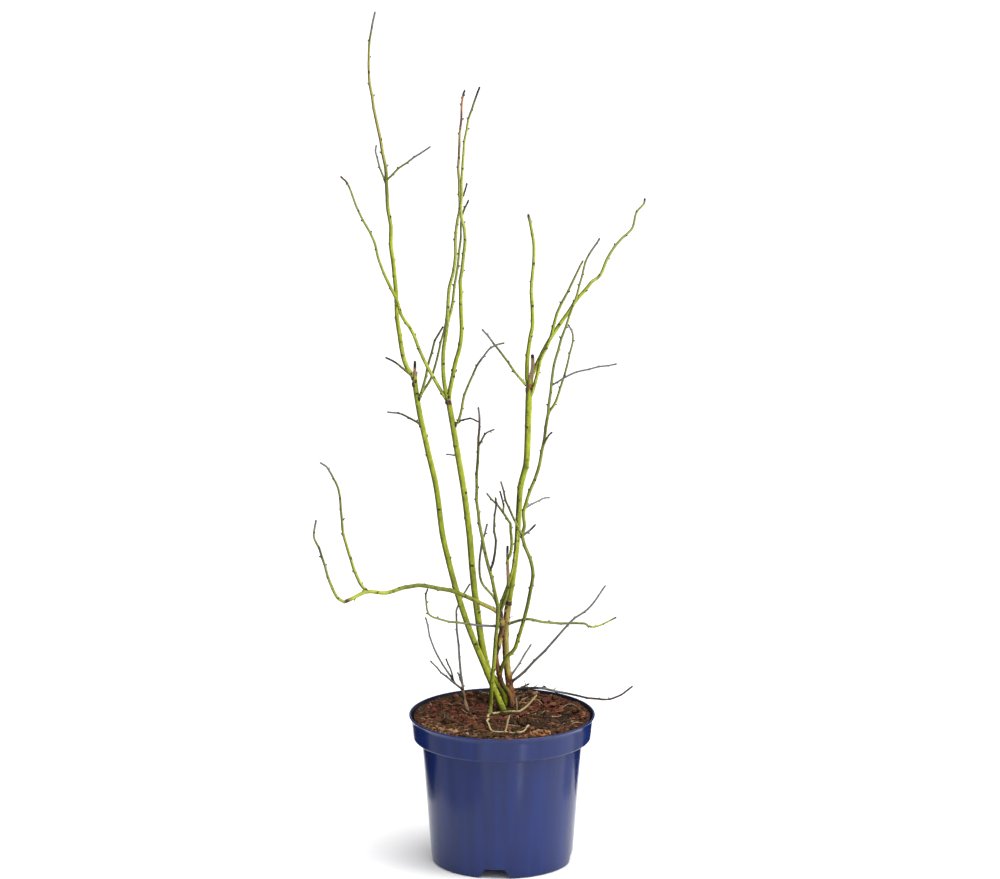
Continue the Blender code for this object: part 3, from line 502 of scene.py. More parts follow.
rightCane = {
    "cane_right": dict(
        foot=(10, 62), reach=(21, -10, 374), internode=30, kink=0.15, scars=(0.288, 0.298),
        bends=((0.2, -10.5), (0.43, -4.5), (0.62, -4), (0.7, 0.5), (0.9, -1), (0.97, 1)),
        girth=((0, 4.0), (0.04, 3.3), (0.2, 2.9), (0.42, 2.5), (0.86, 3.2), (0.92, 2.9), (0.945, 1.6),
               (1, 1.35)),
        bark=("rosy, russet 3, russet 7.5, beige 10, beige 28.5, umber 29, umber 29.6, fresh 30, "
              "fresh 92.5, rosy 93.5, rosy 98.6, soot 99.3")),
    "bough_straight": dict(
        on=("cane_right", 0.91), reach=(2, 31, 89), girth=(1.95, 1.5),
        bends=((0.1, -3), (0.53, -0.5), (0.67, 2)), bark="tawny, fresh 8, fresh 100"),
    "twigs_straight": dict(
        after="bough_straight", reach=(-3, 46, 73), girth=(1.45, 1.15), bends=((0.62, 4.5),),
        bark="fresh, fresh 85, sage 93, umber 98, soot 100"),
    "bough_far": dict(
        on=("cane_right", 0.91), reach=(62, 19, 103), girth=(1.9, 1.4),
        bends=((0.11, -3.5), (0.35, -6.5), (0.81, -3.5)), bark="tawny, fresh 8, fresh 100"),
    "twigs_far": dict(
        after="bough_far", reach=(56, 40, 80), girth=(1.35, 0.65),
        bends=((0.12, 4), (0.31, 0.5), (0.53, 2), (0.69, 5.5), (0.84, 0.5), (0.95, 2)),
        bark="fresh, sage 50, sage 93, soot 100"),
    "bough_near": dict(
        on=("cane_right", 0.88), reach=(28, -23, 91), girth=(1.6, 1.2),
        bends=((0.08, 2), (0.45, -0.5), (0.73, 1.5)), bark="fresh, lime 10, fresh 100"),
    "twigs_near": dict(
        after="bough_near", reach=(26, -18, 59), girth=(1.15, 0.6), bark="fresh, sage 50, khaki 100"),
    "twigs_right_knob": dict(
        on=("cane_right", 0.91), reach=(-48, -31, 66), girth=(1.1, 0.6), internode=16,
        bends=((0.07, -2.5), (0.72, 0)), bark="soot, fresh 8, olive 45, moss 70, ash 100"),
    "arm_right": dict(
        on=("cane_right", 0.23), reach=(80, 36, -9), girth=(1.2, 0.85),
        bends=((0.27, -5.5), (0.51, -1.5)), bark="beige, moss 8, sage 50, moss 100"),
    "twigs_arm_right": dict(
        after="arm_right", reach=(34, 16, 2), girth=(0.8, 0.5), internode=11, bends=((0.23, 5), (0.4, 6)),
        bark="olive, fresh 60, moss 100"),
    "twigs_grey_long": dict(
        on=("cane_right", 0.06), reach=(98, -43, 116), girth=(1.15, 0.5), internode=15,
        bends=((0.09, 2), (0.27, 2.5), (0.46, 2), (0.63, 0.5), (0.82, 4)),
        bark="umber, ash 10, ash 100"),
    "twigs_grey_short": dict(
        on=("cane_right", 0.07), reach=(23, 25, 31), girth=(0.8, 0.5), internode=12,
        bark="umber, ash 10, ash 100"),
    "grey_low": dict(
        node="twigs_grey_low", on=("cane_right", 0.04), reach=(126, -14, 8), girth=(1.05, 0.5),
        internode=13, bends=((0.16, -2), (0.29, 0), (0.74, 13), (0.89, 9.5)),
        bark="umber, soot 10, ash 30, soot 55, umber 80, soot 100"),
    "straw_back": dict(
        node="twigs_straw_back", on=("cane_right", 0.03), reach=(19, 12, 7), girth=(0.8, 0.5),
        internode=10, bark="straw, tawny 50, soot 80"),
}
oldStem = {
    "stem_old": dict(
        foot=(9.5, 54.5), reach=(-12, -6, 103), internode=16, kink=0.15, scars=(0.3, 0.9),
        bends=((0.12, 0), (0.25, -6.5), (0.43, -9), (0.55, -9), (0.69, -3.5), (0.87, 1)),
        girth=((0, 2.8), (0.08, 2.2), (0.6, 2.05), (0.92, 2.1), (0.97, 2.7), (1, 2.2)),
        bark=("umber, russet 10, moss 20, wine 30, russet 50, umber 62, beige 70, russet 76, umber 84, "
              "beige 90, umber 95, soot 100")),
    "stem_front": dict(
        after="stem_old", reach=(19, -10, 127), girth=(1.1, 0.75), bends=((0.37, 6.5), (0.56, 6.5)),
        bark="tawny, fresh 6, lime 60, moss 90, umber 100"),
    "stem_short": dict(
        on=("stem_old", 0.99), reach=(11, -26, 100), girth=(1.35, 1.1), scars=(0.44, 0.565),
        bends=((0.17, 4.5), (0.31, 5), (0.61, 1.5), (0.67, 3.5), (0.82, 3)),
        bark="umber, olive 4, sage 20, olive 36, rosy 45, rosy 55, fresh 57.5, olive 100"),
    "short_left": dict(
        node="twigs_short", after="stem_short", reach=(-24, -21, 38), girth=(1.0, 0.55), internode=12,
        bends=((0.46, 1.5),), bark="olive, moss 50, moss 85, ash 100"),
    "short_side": dict(
        node="twigs_short", on=("short_left", 0.38), reach=(-3, 13, 19), girth=(0.75, 0.45), internode=10,
        bends=((0.31, 1.5),), bark="olive, moss 50, soot 80"),
    "stub_short": dict(
        on=("stem_short", 0.57), reach=(0, 5, 17), girth=(1.0, 0.85), internode=12,
        bark="rosy, ash 35, soot 85"),
    "twigs_curl": dict(
        on=("stem_old", 0.985), reach=(-13, -29, 102), girth=(1.1, 0.6), internode=14,
        bends=((0.17, -3.5), (0.37, -14), (0.57, -13.5), (0.78, -8.5)),
        bark="umber, olive 8, sage 30, moss 60, ash 100"),
    "stem_right": dict(
        on=("stem_old", 0.34), reach=(49, -40, 285), girth=(1.7, 1.25), scars=(0.15,),
        bends=((0.05, 2), (0.08, 5), (0.12, 11), (0.33, 15.5), (0.42, 13.5), (0.54, -3), (0.58, -3),
               (0.64, -6.5), (0.81, 0.5)),
        bark="russet, olive 3, fresh 12, olive 30, sage 55, fresh 65, sage 80, olive 100"),
    "right_leader": dict(
        node="twigs_right_top", after="stem_right", reach=(50, -107, 206), girth=(1.2, 0.6),
        bends=((0.27, -8), (0.42, -8.5), (0.71, -6), (0.88, -6.5)),
        bark="sage, sage 40, fresh 60, sage 85, ash 100"),
    "right_leader_right": dict(
        node="twigs_right_top", on=("right_leader", 0.01), reach=(20, -42, 102), girth=(1.0, 0.55),
        bends=((0.2, 5.5), (0.77, 8), (0.91, 6)), bark="fresh, sage 50, sage 80, ash 100"),
    "right_leader_hair": dict(
        node="twigs_right_top", on=("right_leader", 0.17), reach=(65, -34, 30), girth=(0.6, 0.4),
        internode=14, bends=((0.34, -4.5), (0.59, -4)), bark="olive, ash 12, ash 100"),
    "twigs_knee": dict(
        on=("stem_right", 0.55), reach=(-22, -25, 63), girth=(1.0, 0.55), internode=14,
        bends=((0.59, -2.5),), bark="soot, fresh 8, moss 50, umber 75, ash 100"),
    "twig_right_short": dict(
        on=("stem_right", 0.55), reach=(13, -3, 12), girth=(0.9, 0.6), internode=9, bends=((0.6, 0.5),),
        bark="olive, ash 40, soot 80"),
    "twig_right_hair": dict(
        on=("stem_right", 0.65), reach=(26, 23, 6), girth=(0.6, 0.4), internode=12, bends=((0.7, -2),),
        bark="ash, ash 100"),
    "twig_right_up": dict(
        on=("stem_right", 0.89), reach=(9, -11, 17), girth=(0.75, 0.5), internode=9, bends=((0.79, -1),),
        bark="olive, tawny 60, umber 100"),
    "twigs_low_curl": dict(
        on=("stem_old", 0.84), reach=(-76, -35, 50), girth=(0.95, 0.5), internode=14,
        bends=((0.41, -15), (0.72, -23.5), (0.83, -22), (0.96, -9)),
        bark="umber, ash 20, sage 45, sage 80, moss 100"),
}
lowArm = {
    "arm_inner": dict(
        on=("stem_old", 0.975), reach=(-95, -49, 42), girth=(1.95, 1.75),
        bends=((0.13, 3.5), (0.52, 9), (0.88, 5.5)), bark="tawny, khaki 12, olive 40, olive 100"),
    "arm_outer": dict(
        after="arm_inner", reach=(-61, -52, -1), girth=((0, 1.7), (0.9, 1.5), (1, 1.7)),
        bends=((0.33, -1), (0.65, 4.5)), scars=(0.02,), bark="olive, fresh 50, fresh 90, umber 100"),
    "twigs_arm_tip": dict(
        after="arm_outer", reach=(-28, -36, 94), girth=(1.3, 0.6), internode=14,
        bends=((0.08, -6.5), (0.32, -8), (0.65, -6.5), (0.83, -7.5)),
        bark="umber, fresh 6, sage 45, moss 62, sage 85, ash 100"),
    "twigs_arm_up": dict(
        on=("arm_outer", 0.65), reach=(-48, 60, 120), girth=(1.4, 0.6), internode=14,
        bends=((0.09, -4), (0.45, -2.5), (0.77, 8), (0.95, 4.5)),
        bark="umber, lime 4, fresh 30, olive 60, olive 85, ash 95"),
}
thinStem = {
    "stem_thin": dict(
        foot=(-13, 27), reach=(-11, -25, 288), girth=((0, 2.3), (0.05, 1.8), (1, 1.05)), scars=(0.12,),
        bends=((0.39, 13), (0.45, 11.5), (0.62, 2), (0.76, -3), (0.85, -3.5)),
        bark="straw, olive 4, fresh 15, olive 40, sage 70, moss 100"),
    "thin_leader": dict(
        node="twigs_thin_top", after="stem_thin", reach=(0, -2, 42), girth=(1.0, 0.65), internode=13,
        bends=((0.78, 1),), bark="moss, umber 50, ash 100"),
    "thin_leader_right": dict(
        node="twigs_thin_top", on=("thin_leader", 0.04), reach=(16, -16, 21), girth=(0.7, 0.45),
        internode=11, bends=((0.56, -3), (0.83, -2.5)), bark="olive, moss 60, ash 100"),
    "twigs_thin_branch": dict(
        on=("stem_thin", 0.54), reach=(6, -28, 84), girth=(1.0, 0.6), internode=14,
        bends=((0.12, 3), (0.41, 3.5), (0.63, 0.5), (0.91, 1)),
        bark="moss, umber 10, moss 80, soot 100"),
}
deadStem = {
    "stem_dead": dict(
        foot=(-35, 34), reach=(2, 36, 127), girth=((0, 1.6), (0.12, 1.2), (0.2, 0.9), (1, 0.5)),
        internode=16, bends=((0.16, -5.5), (0.77, -14), (0.82, -12.5)),
        bark="tawny, rosy 6, tawny 12, ash 20"),
    "dead_low": dict(
        node="twigs_dead", on=("stem_dead", 0.17), reach=(-33, -36, 41), girth=(0.8, 0.4), internode=12,
        bends=((0.58, -1.5),), bark="umber, ash 30, ash 100"),
    "dead_high": dict(
        node="twigs_dead", on=("dead_low", 0.23), reach=(-30, -2, 71), girth=(0.7, 0.4), internode=13,
        bends=((0.32, -3.5), (0.52, -5), (0.67, -4.5)), bark="soot, ash 30, ash 100"),
    "dead_short": dict(
        node="twigs_dead", on=("dead_high", 0.05), reach=(-7, -24, 30), girth=(0.6, 0.4), internode=11,
        bends=((0.47, 1),), bark="soot, ash 50, soot 100"),
    "twig_dead_spur": dict(
        on=("stem_dead", 0.22), reach=(-5, 12, 8), girth=(0.55, 0.4), internode=8, bark="soot, ash 100"),
}
strawTwigs = {
    "straw_front": dict(
        node="twigs_straw_front", foot=(-15, -4), lying=True, reach=(42, -18, 2), girth=(0.6, 0.25),
        internode=13, bends=((0.22, 17), (0.45, 32.5), (0.76, 30.5), (1.08, 29)),
        bark="straw, straw 100"),
    "straw_front_up": dict(
        node="twigs_straw_front", on=("straw_front", 0.52), reach=(5, 3, 17), girth=(0.8, 0.5),
        internode=9, bark="straw, straw 100"),
    "straw_middle": dict(
        node="twigs_straw_middle", foot=(-9, 27), lying=True, reach=(26, 4, 1), girth=(0.95, 0.8),
        internode=12, bends=((0.5, -2),), bark="straw, olive 50, straw 100"),
    "straw_middle_up": dict(
        node="twigs_straw_middle", after="straw_middle", reach=(19.5, 8, 15.5), girth=(0.8, 0.5),
        internode=10, bends=((0.5, 2),), bark="straw, straw 100"),
}

for family in (leftCane, middleCane, rightCane, oldStem, lowArm, thinStem, deadStem, strawTwigs):
    for limbName, limbFacts in family.items():
        grow(limbName, limbFacts)
print("limbs placed:", len(limbs))


swellRule = {  # how high, as a share of a radius, and how wide along the limb
    "bud": (0.16, 1.5), "budMost": 2.0, "scar": (0.16, 1.0), "collar": (0.35, 1.3), "fork": (0.45, 1.6),
    "season": (0.10, 0.7), "seasonAt": 0.6, "forkHeading": 3.0,
}


def placeSwells():
    # a limb swells a little under each bud, and more where another limb leaves it
    for limb in limbs.values():
        foot = limb.radius(0.0)
        height, width = swellRule["bud"]
        for order, at in enumerate(limb.buds):
            out = budSide(limb.name, order, limb.heading(at))
            thick = min(limb.radius(at), swellRule["budMost"])
            limb.swells.append((at, out, height + height * thick, width))
        height, width = swellRule["scar"]
        for share in limb.scars:
            limb.swells.append((share * limb.length, None, height * limb.radius(share * limb.length), width))
        if limb.carrier:
            carrier = limbs[limb.carrier]
            at = limbFork(limb)
            height, width = swellRule["collar"]
            limb.swells.append((carrier.radius(at), None, height * foot, width))
            height, width = swellRule["fork"]
            towards = limb.heading(swellRule["forkHeading"])
            carrier.swells.append((at + foot, towards, height * foot, width))
        if limb.follows:
            height, width = swellRule["season"]
            limb.swells.append((swellRule["seasonAt"], None, height * foot, width))
        limb.swells.sort(key=lambda swell: swell[0])


def limbFork(limb):
    carrier = limbs[limb.carrier]
    root = limb.course[0]
    nearest = min(range(len(carrier.course)), key=lambda k: (carrier.course[k] - root).length)
    return carrier.along[nearest]


# the skin of the limbs

skinSettings = {
    "ringStep": 0.62, "sideWidth": 0.62, "fewestSides": 8, "mostSides": 32, "fewestRings": 4,
    "tipTurns": (0.0, 0.5, 0.95, 1.3), "overlap": 1.2, "swellReach": 3, "forkDark": 2.4,
    "thicker": 0.46, "lessOnThick": 0.06, "thickest": 2.0,
}
barkGrains = {  # depth, waves round and along the limb, and how sharp the plates' edges are
    "smooth": (0.045, 0.9, 0.14, 0.0), "wrinkled": (0.10, 1.5, 0.35, 0.0), "flaky": (0.34, 0.75, 0.15, 2.6),
}
fineGrain = {"round": 2.3, "along": 2.6, "depth": 0.5}
toneSettings = {
    "speckSize": 0.75, "speckSpread": 0.75, "forkEdge": 0.15, "patchSize": 9.0, "patchLimit": 0.50,
    "patchLeast": 0.6, "paintedShadeSide": 0.36, "paintedDeepShadeSide": 0.66, "paintedLightSide": 0.66, "raggedSide": 0.5,
    "raggedDeep": 0.3, "lenticels": 0.52, "lenticelScale": 1.1, "lenticelTones": ("fresh", "lime", "olive"),
}
patchShift, lenticelShift = Vector((71, 0, 0)), Vector((0, 33, 0))


def stretchAt(limb, share):
    # the two tones that meet at this share and how far the second has taken over
    for (s0, a), (s1, b) in zip(limb.bark, limb.bark[1:]):
        if share < s1:
            return a, b, max(0.0, (share - s0) / (s1 - s0))
    return limb.bark[-1][1], limb.bark[-1][1], 0.0


def toneAt(limb, at, here, fork, out):
    tones = toneSettings
    a, b, mix = stretchAt(limb, at / limb.length)
    speck = 0.5 + tones["speckSpread"] * noise.noise(here / tones["speckSize"])
    tone = b if mix > speck else a
    if fork > speck + tones["forkEdge"]:
        return "umber" if barkTones[tone][2] == "smooth" else tone
    ragged = tones["raggedSide"] * (speck - 0.5)
    if tone in toneKin:
        patchFirst, patchSecond, paintedShadeTone, paintedLightTone = toneKin[tone]
        # painted shade: the side facing -X takes a darker tone, and further round a darker one still
        if -out.x > tones["paintedShadeSide"] + ragged:
            isDeepPaintedShade = -out.x > tones["paintedDeepShadeSide"] + tones["raggedDeep"] * (speck - 0.5)
            return toneKin[paintedShadeTone][2] if isDeepPaintedShade and paintedShadeTone in toneKin else paintedShadeTone
        # painted light: the side facing +X takes a lighter tone
        if out.x > tones["paintedLightSide"] + ragged:
            return paintedLightTone
        patch = noise.noise((here + patchShift) / tones["patchSize"])
        if abs(patch) > tones["patchLimit"] * (tones["patchLeast"] + speck):
            return patchFirst if patch > 0 else patchSecond
    pore = noise.noise(here * tones["lenticelScale"] + lenticelShift)
    if pore > tones["lenticels"] and tone in tones["lenticelTones"]:
        return "tawny"
    return tone


def ringPlaces(limb):
    # where the rings stand and how far each is drawn in: the last few round off the tip
    count = max(skinSettings["fewestRings"], round(limb.length / skinSettings["ringStep"]))
    tip = limb.radius(limb.length)
    places = [limb.length * k / count for k in range(count)]
    places = [at for at in places if at < limb.length - tip]
    if not limb.flatFoot and not limb.carrier:
        places.insert(0, -skinSettings["overlap"])
    return [(at, 1.0) for at in places] + [
        (limb.length - tip * (1 - math.sin(turn)), math.cos(turn)) for turn in skinSettings["tipTurns"]]


def withSwells(radius, at, out, swells):
    # the radius with the swellings near this place, and how much of it is a fork's old wood
    fork = 0.0
    for place, towards, height, width in swells:
        share = math.exp(-((at - place) / width) ** 2)
        if towards:
            share *= max(0.0, out.dot(towards)) ** 2
        radius += height * share
        fork = max(fork, share * min(1.0, height * skinSettings["forkDark"]))
    return radius, fork


def withGrain(radius, thick, local, grains):
    for grain, weight in grains:
        if weight > 0:
            depth, turns, along, plates = barkGrains[grain]
            wave = noise.noise(Vector((local.x * turns, local.y * turns, local.z * along)))
            turns, along = turns * fineGrain["round"], along * fineGrain["along"]
            fine = noise.noise(Vector((local.x * turns, local.y * turns, local.z * along)))
            if plates:
                wave = 1 - plates * abs(wave)
            radius += depth * weight * (wave + fineGrain["depth"] * fine) * min(1.0, thick)
    return radius


def skin(limb, pile):
    widest = max(radius for _, radius in limb.girth)
    sides = round(2 * math.pi * widest / skinSettings["sideWidth"])
    sides = min(max(sides, skinSettings["fewestSides"]), skinSettings["mostSides"])
    side = None
    previous = None
    for at, narrowing in ringPlaces(limb):
        heading = Vector((0, 0, 1)) if limb.flatFoot and at <= 0 else limb.heading(at)
        side = across(heading)[0] if side is None else (side - heading * side.dot(heading)).normalized()
        upper = heading.cross(side)
        centre = limb.point(at) + heading * min(at, 0.0)
        thick = limb.barkRadius(at)
        a, b, mix = stretchAt(limb, at / limb.length)
        grains = (barkTones[a][2], 1 - mix), (barkTones[b][2], mix)
        reach = skinSettings["swellReach"]
        swells = [swell for swell in limb.swells if abs(swell[0] - at) < reach * swell[3]]
        first = len(pile.points)
        spots = []
        for k in range(sides):
            angle = 2 * math.pi * k / sides
            out = side * math.cos(angle) + upper * math.sin(angle)
            local = Vector((math.cos(angle) * thick, math.sin(angle) * thick, at)) + limb.shift
            radius, fork = withSwells(thick, at, out, swells)
            radius = withGrain(radius, thick, local, grains)
            pile.points.append(centre + out * (radius * narrowing))
            spots.append((local, fork, out))
        if previous is None:
            pile.points.append(centre.copy())
            pile.addFan(first, sides, len(pile.points) - 1, limb.bark[0][1], isFoot=True)
        else:
            pile.addBand(previous, first, [toneAt(limb, max(at, 0.0), *spot) for spot in spots])
        previous = first
    pile.points.append(limb.point(limb.length))
    pile.addFan(previous, sides, len(pile.points) - 1, limb.bark[-1][1])


# buds, snags and flakes of bark

budSettings = {
    "length": 2.7, "radius": 0.85, "sides": 8, "scaleStep": 0.13, "scaleTwist": 7.0,
    "rings": ((-0.25, 0.60), (0.0, 0.92), (0.18, 1.06), (0.36, 1.0),
              (0.54, 0.84), (0.72, 0.58), (0.88, 0.30)),  # share of the length and of the radius
}


def addBud(pile, root, lean, size, tones):
    # a pointed bud whose scales wind round it; its tones run from foot to tip
    level, upper = across(lean)
    length = budSettings["length"] * size
    sides, rings = budSettings["sides"], budSettings["rings"]
    first = len(pile.points)
    for share, width in rings:
        for k in range(sides):
            angle = 2 * math.pi * k / sides
            scale = 1 + budSettings["scaleStep"] * math.sin(2 * angle + budSettings["scaleTwist"] * share)
            r = budSettings["radius"] * size * width * scale
            out = level * math.cos(angle) + upper * math.sin(angle)
            pile.points.append(root + lean * length * share + out * r)
    pile.points.append(root + lean * length)
    pile.addCap(first, sides, tones[0], isFoot=True)
    for ringIndex in range(1, len(rings)):
        steps = [(ringIndex + (k % 4 == 0)) * len(tones) // len(rings) for k in range(sides)]
        ringTones = [tones[min(len(tones) - 1, step)] for step in steps]
        pile.addBand(first + (ringIndex - 1) * sides, first + ringIndex * sides, ringTones)
    pile.addFan(first + (len(rings) - 1) * sides, sides, len(pile.points) - 1, tones[-1])


def addRod(pile, points, radii, sides, tone):
    # a thin closed rod along a few points
    side = None
    first = len(pile.points)
    for k, (point, radius) in enumerate(zip(points, radii)):
        heading = (points[min(k + 1, len(points) - 1)] - points[max(k - 1, 0)]).normalized()
        side = across(heading)[0] if side is None else (side - heading * side.dot(heading)).normalized()
        upper = heading.cross(side)
        for i in range(sides):
            angle = 2 * math.pi * i / sides
            pile.points.append(point + (side * math.cos(angle) + upper * math.sin(angle)) * radius)
    pile.addCap(first, sides, tone, isFoot=True)
    for _ in points[1:]:
        pile.addBand(first, first + sides, [tone] * sides)
        first += sides
    pile.addCap(first, sides, tone)


limbTree = KDTree(sum(len(limb.course) for limb in limbs.values()))
treeLimbs = []
for limb in limbs.values():
    for k, coursePoint in enumerate(limb.course):
        limbTree.insert(coursePoint, len(treeLimbs))
        treeLimbs.append((limb, k))
limbTree.balance()


def isClear(point, own):
    # above the compost and the lip, and away from every other limb
    level = compostHigh.z + limbRule["clear"]
    if abs(math.hypot(point.x, point.y) - potHigh.x) < limbRule["lipWidth"]:
        level = potHigh.z + limbRule["clear"]
    if point.z < level:
        return False
    for _, index, distance in limbTree.find_range(point, limbRule["near"]):
        limb, k = treeLimbs[index]
        if limb is not own and distance < limb.radius(limb.along[k]) + limbRule["clear"]:
            return False
    return True


dressing = {
    "thinnest": 0.42, "room": 2.4, "size": (0.75, 1.05), "onTwigs": 0.62, "byRadius": 0.4, "onCanes": 0.85,
    "onOldWood": 0.7, "sunk": 0.8, "darkBuds": 0.6, "greenBuds": 0.2,
    "snags": 0.5, "snagBelow": 0.8, "snagSunk": 0.85, "snagLength": (1.0, 2.0), "snagRadii": (0.5, 0.3),
    "tipSize": 0.9, "tipByRadius": 0.6, "tipBack": 2.0,
}
tipTones = {"ash": ("ash", "umber"), "soot": ("soot", "soot")}


def dressLimb(limb, pile):
    # buds by the rule, a bud at a live tip, and a short snag here and there
    rule = random.Random("dress " + limb.name)
    isMass = limb.node.startswith("twig")
    for order, at in enumerate(limb.buds):
        radius = limb.radius(at)
        heading = limb.heading(at)
        out = budSide(limb.name, order, heading)
        lean = (out * limbRule["outwards"] + heading * limbRule["forwards"]).normalized()
        onTwig = min(1.0, dressing["onTwigs"] + radius * dressing["byRadius"])
        size = rule.uniform(*dressing["size"]) * (onTwig if isMass else dressing["onCanes"])
        tone = stretchAt(limb, at / limb.length)[0]
        far = limb.point(at) + lean * (radius + dressing["room"])
        if radius < dressing["thinnest"] or not isClear(far, limb):
            continue
        isDark = barkTones[tone][2] != "smooth" or rule.random() < dressing["darkBuds"]
        tones = ("umber", "soot") if isDark else ("wine", "umber")
        if tone in ("fresh", "lime") and rule.random() < dressing["greenBuds"]:
            tones = ("olive", "wine", "umber")
        if tone in ("ash", "soot", "straw", "russet", "beige", "umber"):
            size *= dressing["onOldWood"]
        addBud(pile, limb.point(at) + out * limb.barkRadius(at) * dressing["sunk"], lean, size, tones)
        if not isMass and rule.random() < dressing["snags"]:
            start = limb.point(at) - heading * dressing["snagBelow"]
            start += out * limb.barkRadius(at) * dressing["snagSunk"]
            snagTip = start + lean * rule.uniform(*dressing["snagLength"])
            addRod(pile, [start, snagTip], dressing["snagRadii"], 6, "soot")
    if isMass and limb.bark[-1][1] != "straw":
        heading = limb.heading(limb.length)
        tip = limb.point(limb.length) - heading * dressing["tipBack"]
        size = dressing["tipSize"] + dressing["tipByRadius"] * limb.radius(limb.length)
        addBud(pile, tip, heading, size, tipTones.get(limb.bark[-1][1], ("umber", "soot")))


forkKnobs = {  # limb: (share, size, tone, degrees round from +X) of the knobs of old wood
    "cane_left": ((0.935, 2.0, "umber", 225), (0.952, 1.7, "soot", 190), (0.945, 1.4, "umber", 290),
                  (0.895, 1.8, "soot", 320), (0.82, 1.3, "soot", 200), (0.105, 1.8, "soot", 350),
                  (0.115, 1.3, "umber", 60)),
    "cane_middle": ((1.0, 1.4, "umber", 290), (1.0, 1.6, "soot", 190), (0.925, 1.7, "soot", 340)),
    "cane_right": ((0.90, 2.2, "umber", 225), (0.912, 1.9, "russet", 275), (0.905, 1.7, "umber", 310),
                   (0.235, 1.3, "umber", 320), (0.26, 1.1, "soot", 200), (0.2, 1.1, "umber", 230),
                   (0.06, 1.5, "russet", 250), (0.04, 1.4, "umber", 190), (0.29, 1.0, "umber", 0)),
    "bough_outer": ((0.03, 1.8, "umber", 205), (0.045, 1.4, "soot", 260), (0.27, 1.3, "umber", 0),
                    (0.265, 1.1, "umber", 180)),
    "inner_leader": ((0.41, 0.9, "umber", 200), (0.97, 0.8, "umber", 180)),
    "stem_old": ((0.965, 1.6, "umber", 250), (0.99, 1.4, "soot", 330), (0.36, 1.2, "russet", 180),
                 (0.85, 1.1, "umber", 200), (0.75, 1.0, "soot", 320), (0.62, 1.0, "umber", 210)),
    "stem_short": ((0.97, 1.0, "moss", 0), (0.57, 0.9, "umber", 200)),
    "stem_right": ((0.145, 1.0, "moss", 0), (0.36, 0.9, "umber", 0), (0.545, 1.1, "soot", 170),
                   (0.645, 0.9, "soot", 200)),
    "arm_inner": ((0.96, 0.9, "umber", 90), (0.45, 0.8, "tawny", 260), (0.08, 1.0, "umber", 100)),
    "arm_outer": ((0.30, 0.9, "olive", 270), (0.985, 1.3, "umber", 270)),
    "stem_thin": ((0.54, 0.9, "umber", 0), (0.985, 0.8, "soot", 180)),
    "twigs_thin_branch": ((0.62, 0.8, "soot", 0),),
    "twigs_curl": ((0.17, 0.7, "soot", 180), (0.3, 0.7, "umber", 0)),
    "grey_low": ((0.79, 0.8, "soot", 270), (0.23, 0.9, "soot", 90)),
    "stem_dead": ((0.18, 0.9, "soot", 180), (0.42, 0.6, "umber", 0)),
}
knobShape = {
    "rough": 0.42, "roughScale": 1.6, "drawnOut": 0.5, "sunk": 0.85, "splinters": (1, 3),
    "splinterLean": (-0.2, 0.9), "splinterLength": (0.8, 1.2), "splinterRadii": (0.3, 0.15),
    "collarTones": ("umber", "soot"), "collarSize": 0.85, "collarOut": 1.1, "collarUp": 0.4,
}
knobBall = ballShape(2)


def addKnob(pile, centre, size, tone, rule, heading):
    # a rough ball of old wood, drawn out along its limb
    points, faces = knobBall
    first = len(pile.points)
    shift = Vector([rule.uniform(0, 90) for _ in range(3)])
    for point in points:
        rough = 1 + knobShape["rough"] * noise.noise(point * knobShape["roughScale"] + shift)
        offset = point * (size * rough)
        offset += heading * (offset.dot(heading) * knobShape["drawnOut"])
        pile.points.append(centre + offset)
    pile.addFaces(first, faces, tone)


def outwards(heading, degrees):
    level = Vector((math.cos(math.radians(degrees)), math.sin(math.radians(degrees)), 0))
    return (level - heading * level.dot(heading)).normalized()


def addKnobs(pile):
    for name, knobs in forkKnobs.items():
        limb = limbs[name]
        rule = random.Random("knobs " + name)
        for share, size, tone, degrees in knobs:
            at = share * limb.length
            heading = limb.heading(at)
            out = outwards(heading, degrees)
            centre = limb.point(at) + out * limb.barkRadius(at) * knobShape["sunk"]
            addKnob(pile, centre, size, tone, rule, heading)
            for _ in range(rule.randint(*knobShape["splinters"])):
                aside = (out + heading * rule.uniform(*knobShape["splinterLean"])).normalized()
                splinterTip = centre + aside * size * rule.uniform(*knobShape["splinterLength"])
                addRod(pile, [centre, splinterTip], [size * r for r in knobShape["splinterRadii"]], 5, tone)
    for limb in limbs.values():
        if limb.carrier and limb.bark[0][1] in knobShape["collarTones"]:
            # a dark collar of old wood where a twig leaves its limb
            rule = random.Random("collar " + limb.name)
            out = limbs[limb.carrier].radius(limbFork(limb))
            centre = limb.point(out * knobShape["collarOut"] + knobShape["collarUp"])
            size = knobShape["collarSize"] * limb.radius(0.0) + knobShape["collarSize"]
            addKnob(pile, centre, size, limb.bark[0][1], rule, limb.heading(swellRule["forkHeading"]))


greySpurs = {  # limb: (share, direction, length) of short dead side twigs
    "grey_low": ((0.12, (-0.1, 0.2, 1), 9), (0.15, (-0.5, 0, 0.4), 6), (0.17, (0.8, 0.2, 0.5), 8),
                 (0.24, (0.7, -0.3, 0.4), 7), (0.3, (-0.7, 0.3, 0.5), 7), (0.34, (0.6, 0.3, 0.5), 5),
                 (0.79, (-0.3, 0.2, 0.6), 3)),
    "straw_front": ((0.55, (0.2, -0.5, 0.3), 9), (0.72, (-0.4, -0.5, 0.2), 7), (0.85, (0.5, 0.2, 0.5), 6)),
    "straw_middle": ((0.93, (-0.02, -0.2, 1), 15),),
    "stem_thin": ((0.38, (-0.8, -0.2, 0.6), 3.5), (0.62, (-0.7, 0, 0.7), 3.5)),
    "cane_right": ((0.245, (0.75, -0.3, 0.45), 8), (0.02, (0.8, -0.3, 0.25), 16)),
    "cane_left": ((0.075, (0.7, -0.5, -0.3), 6),),
}
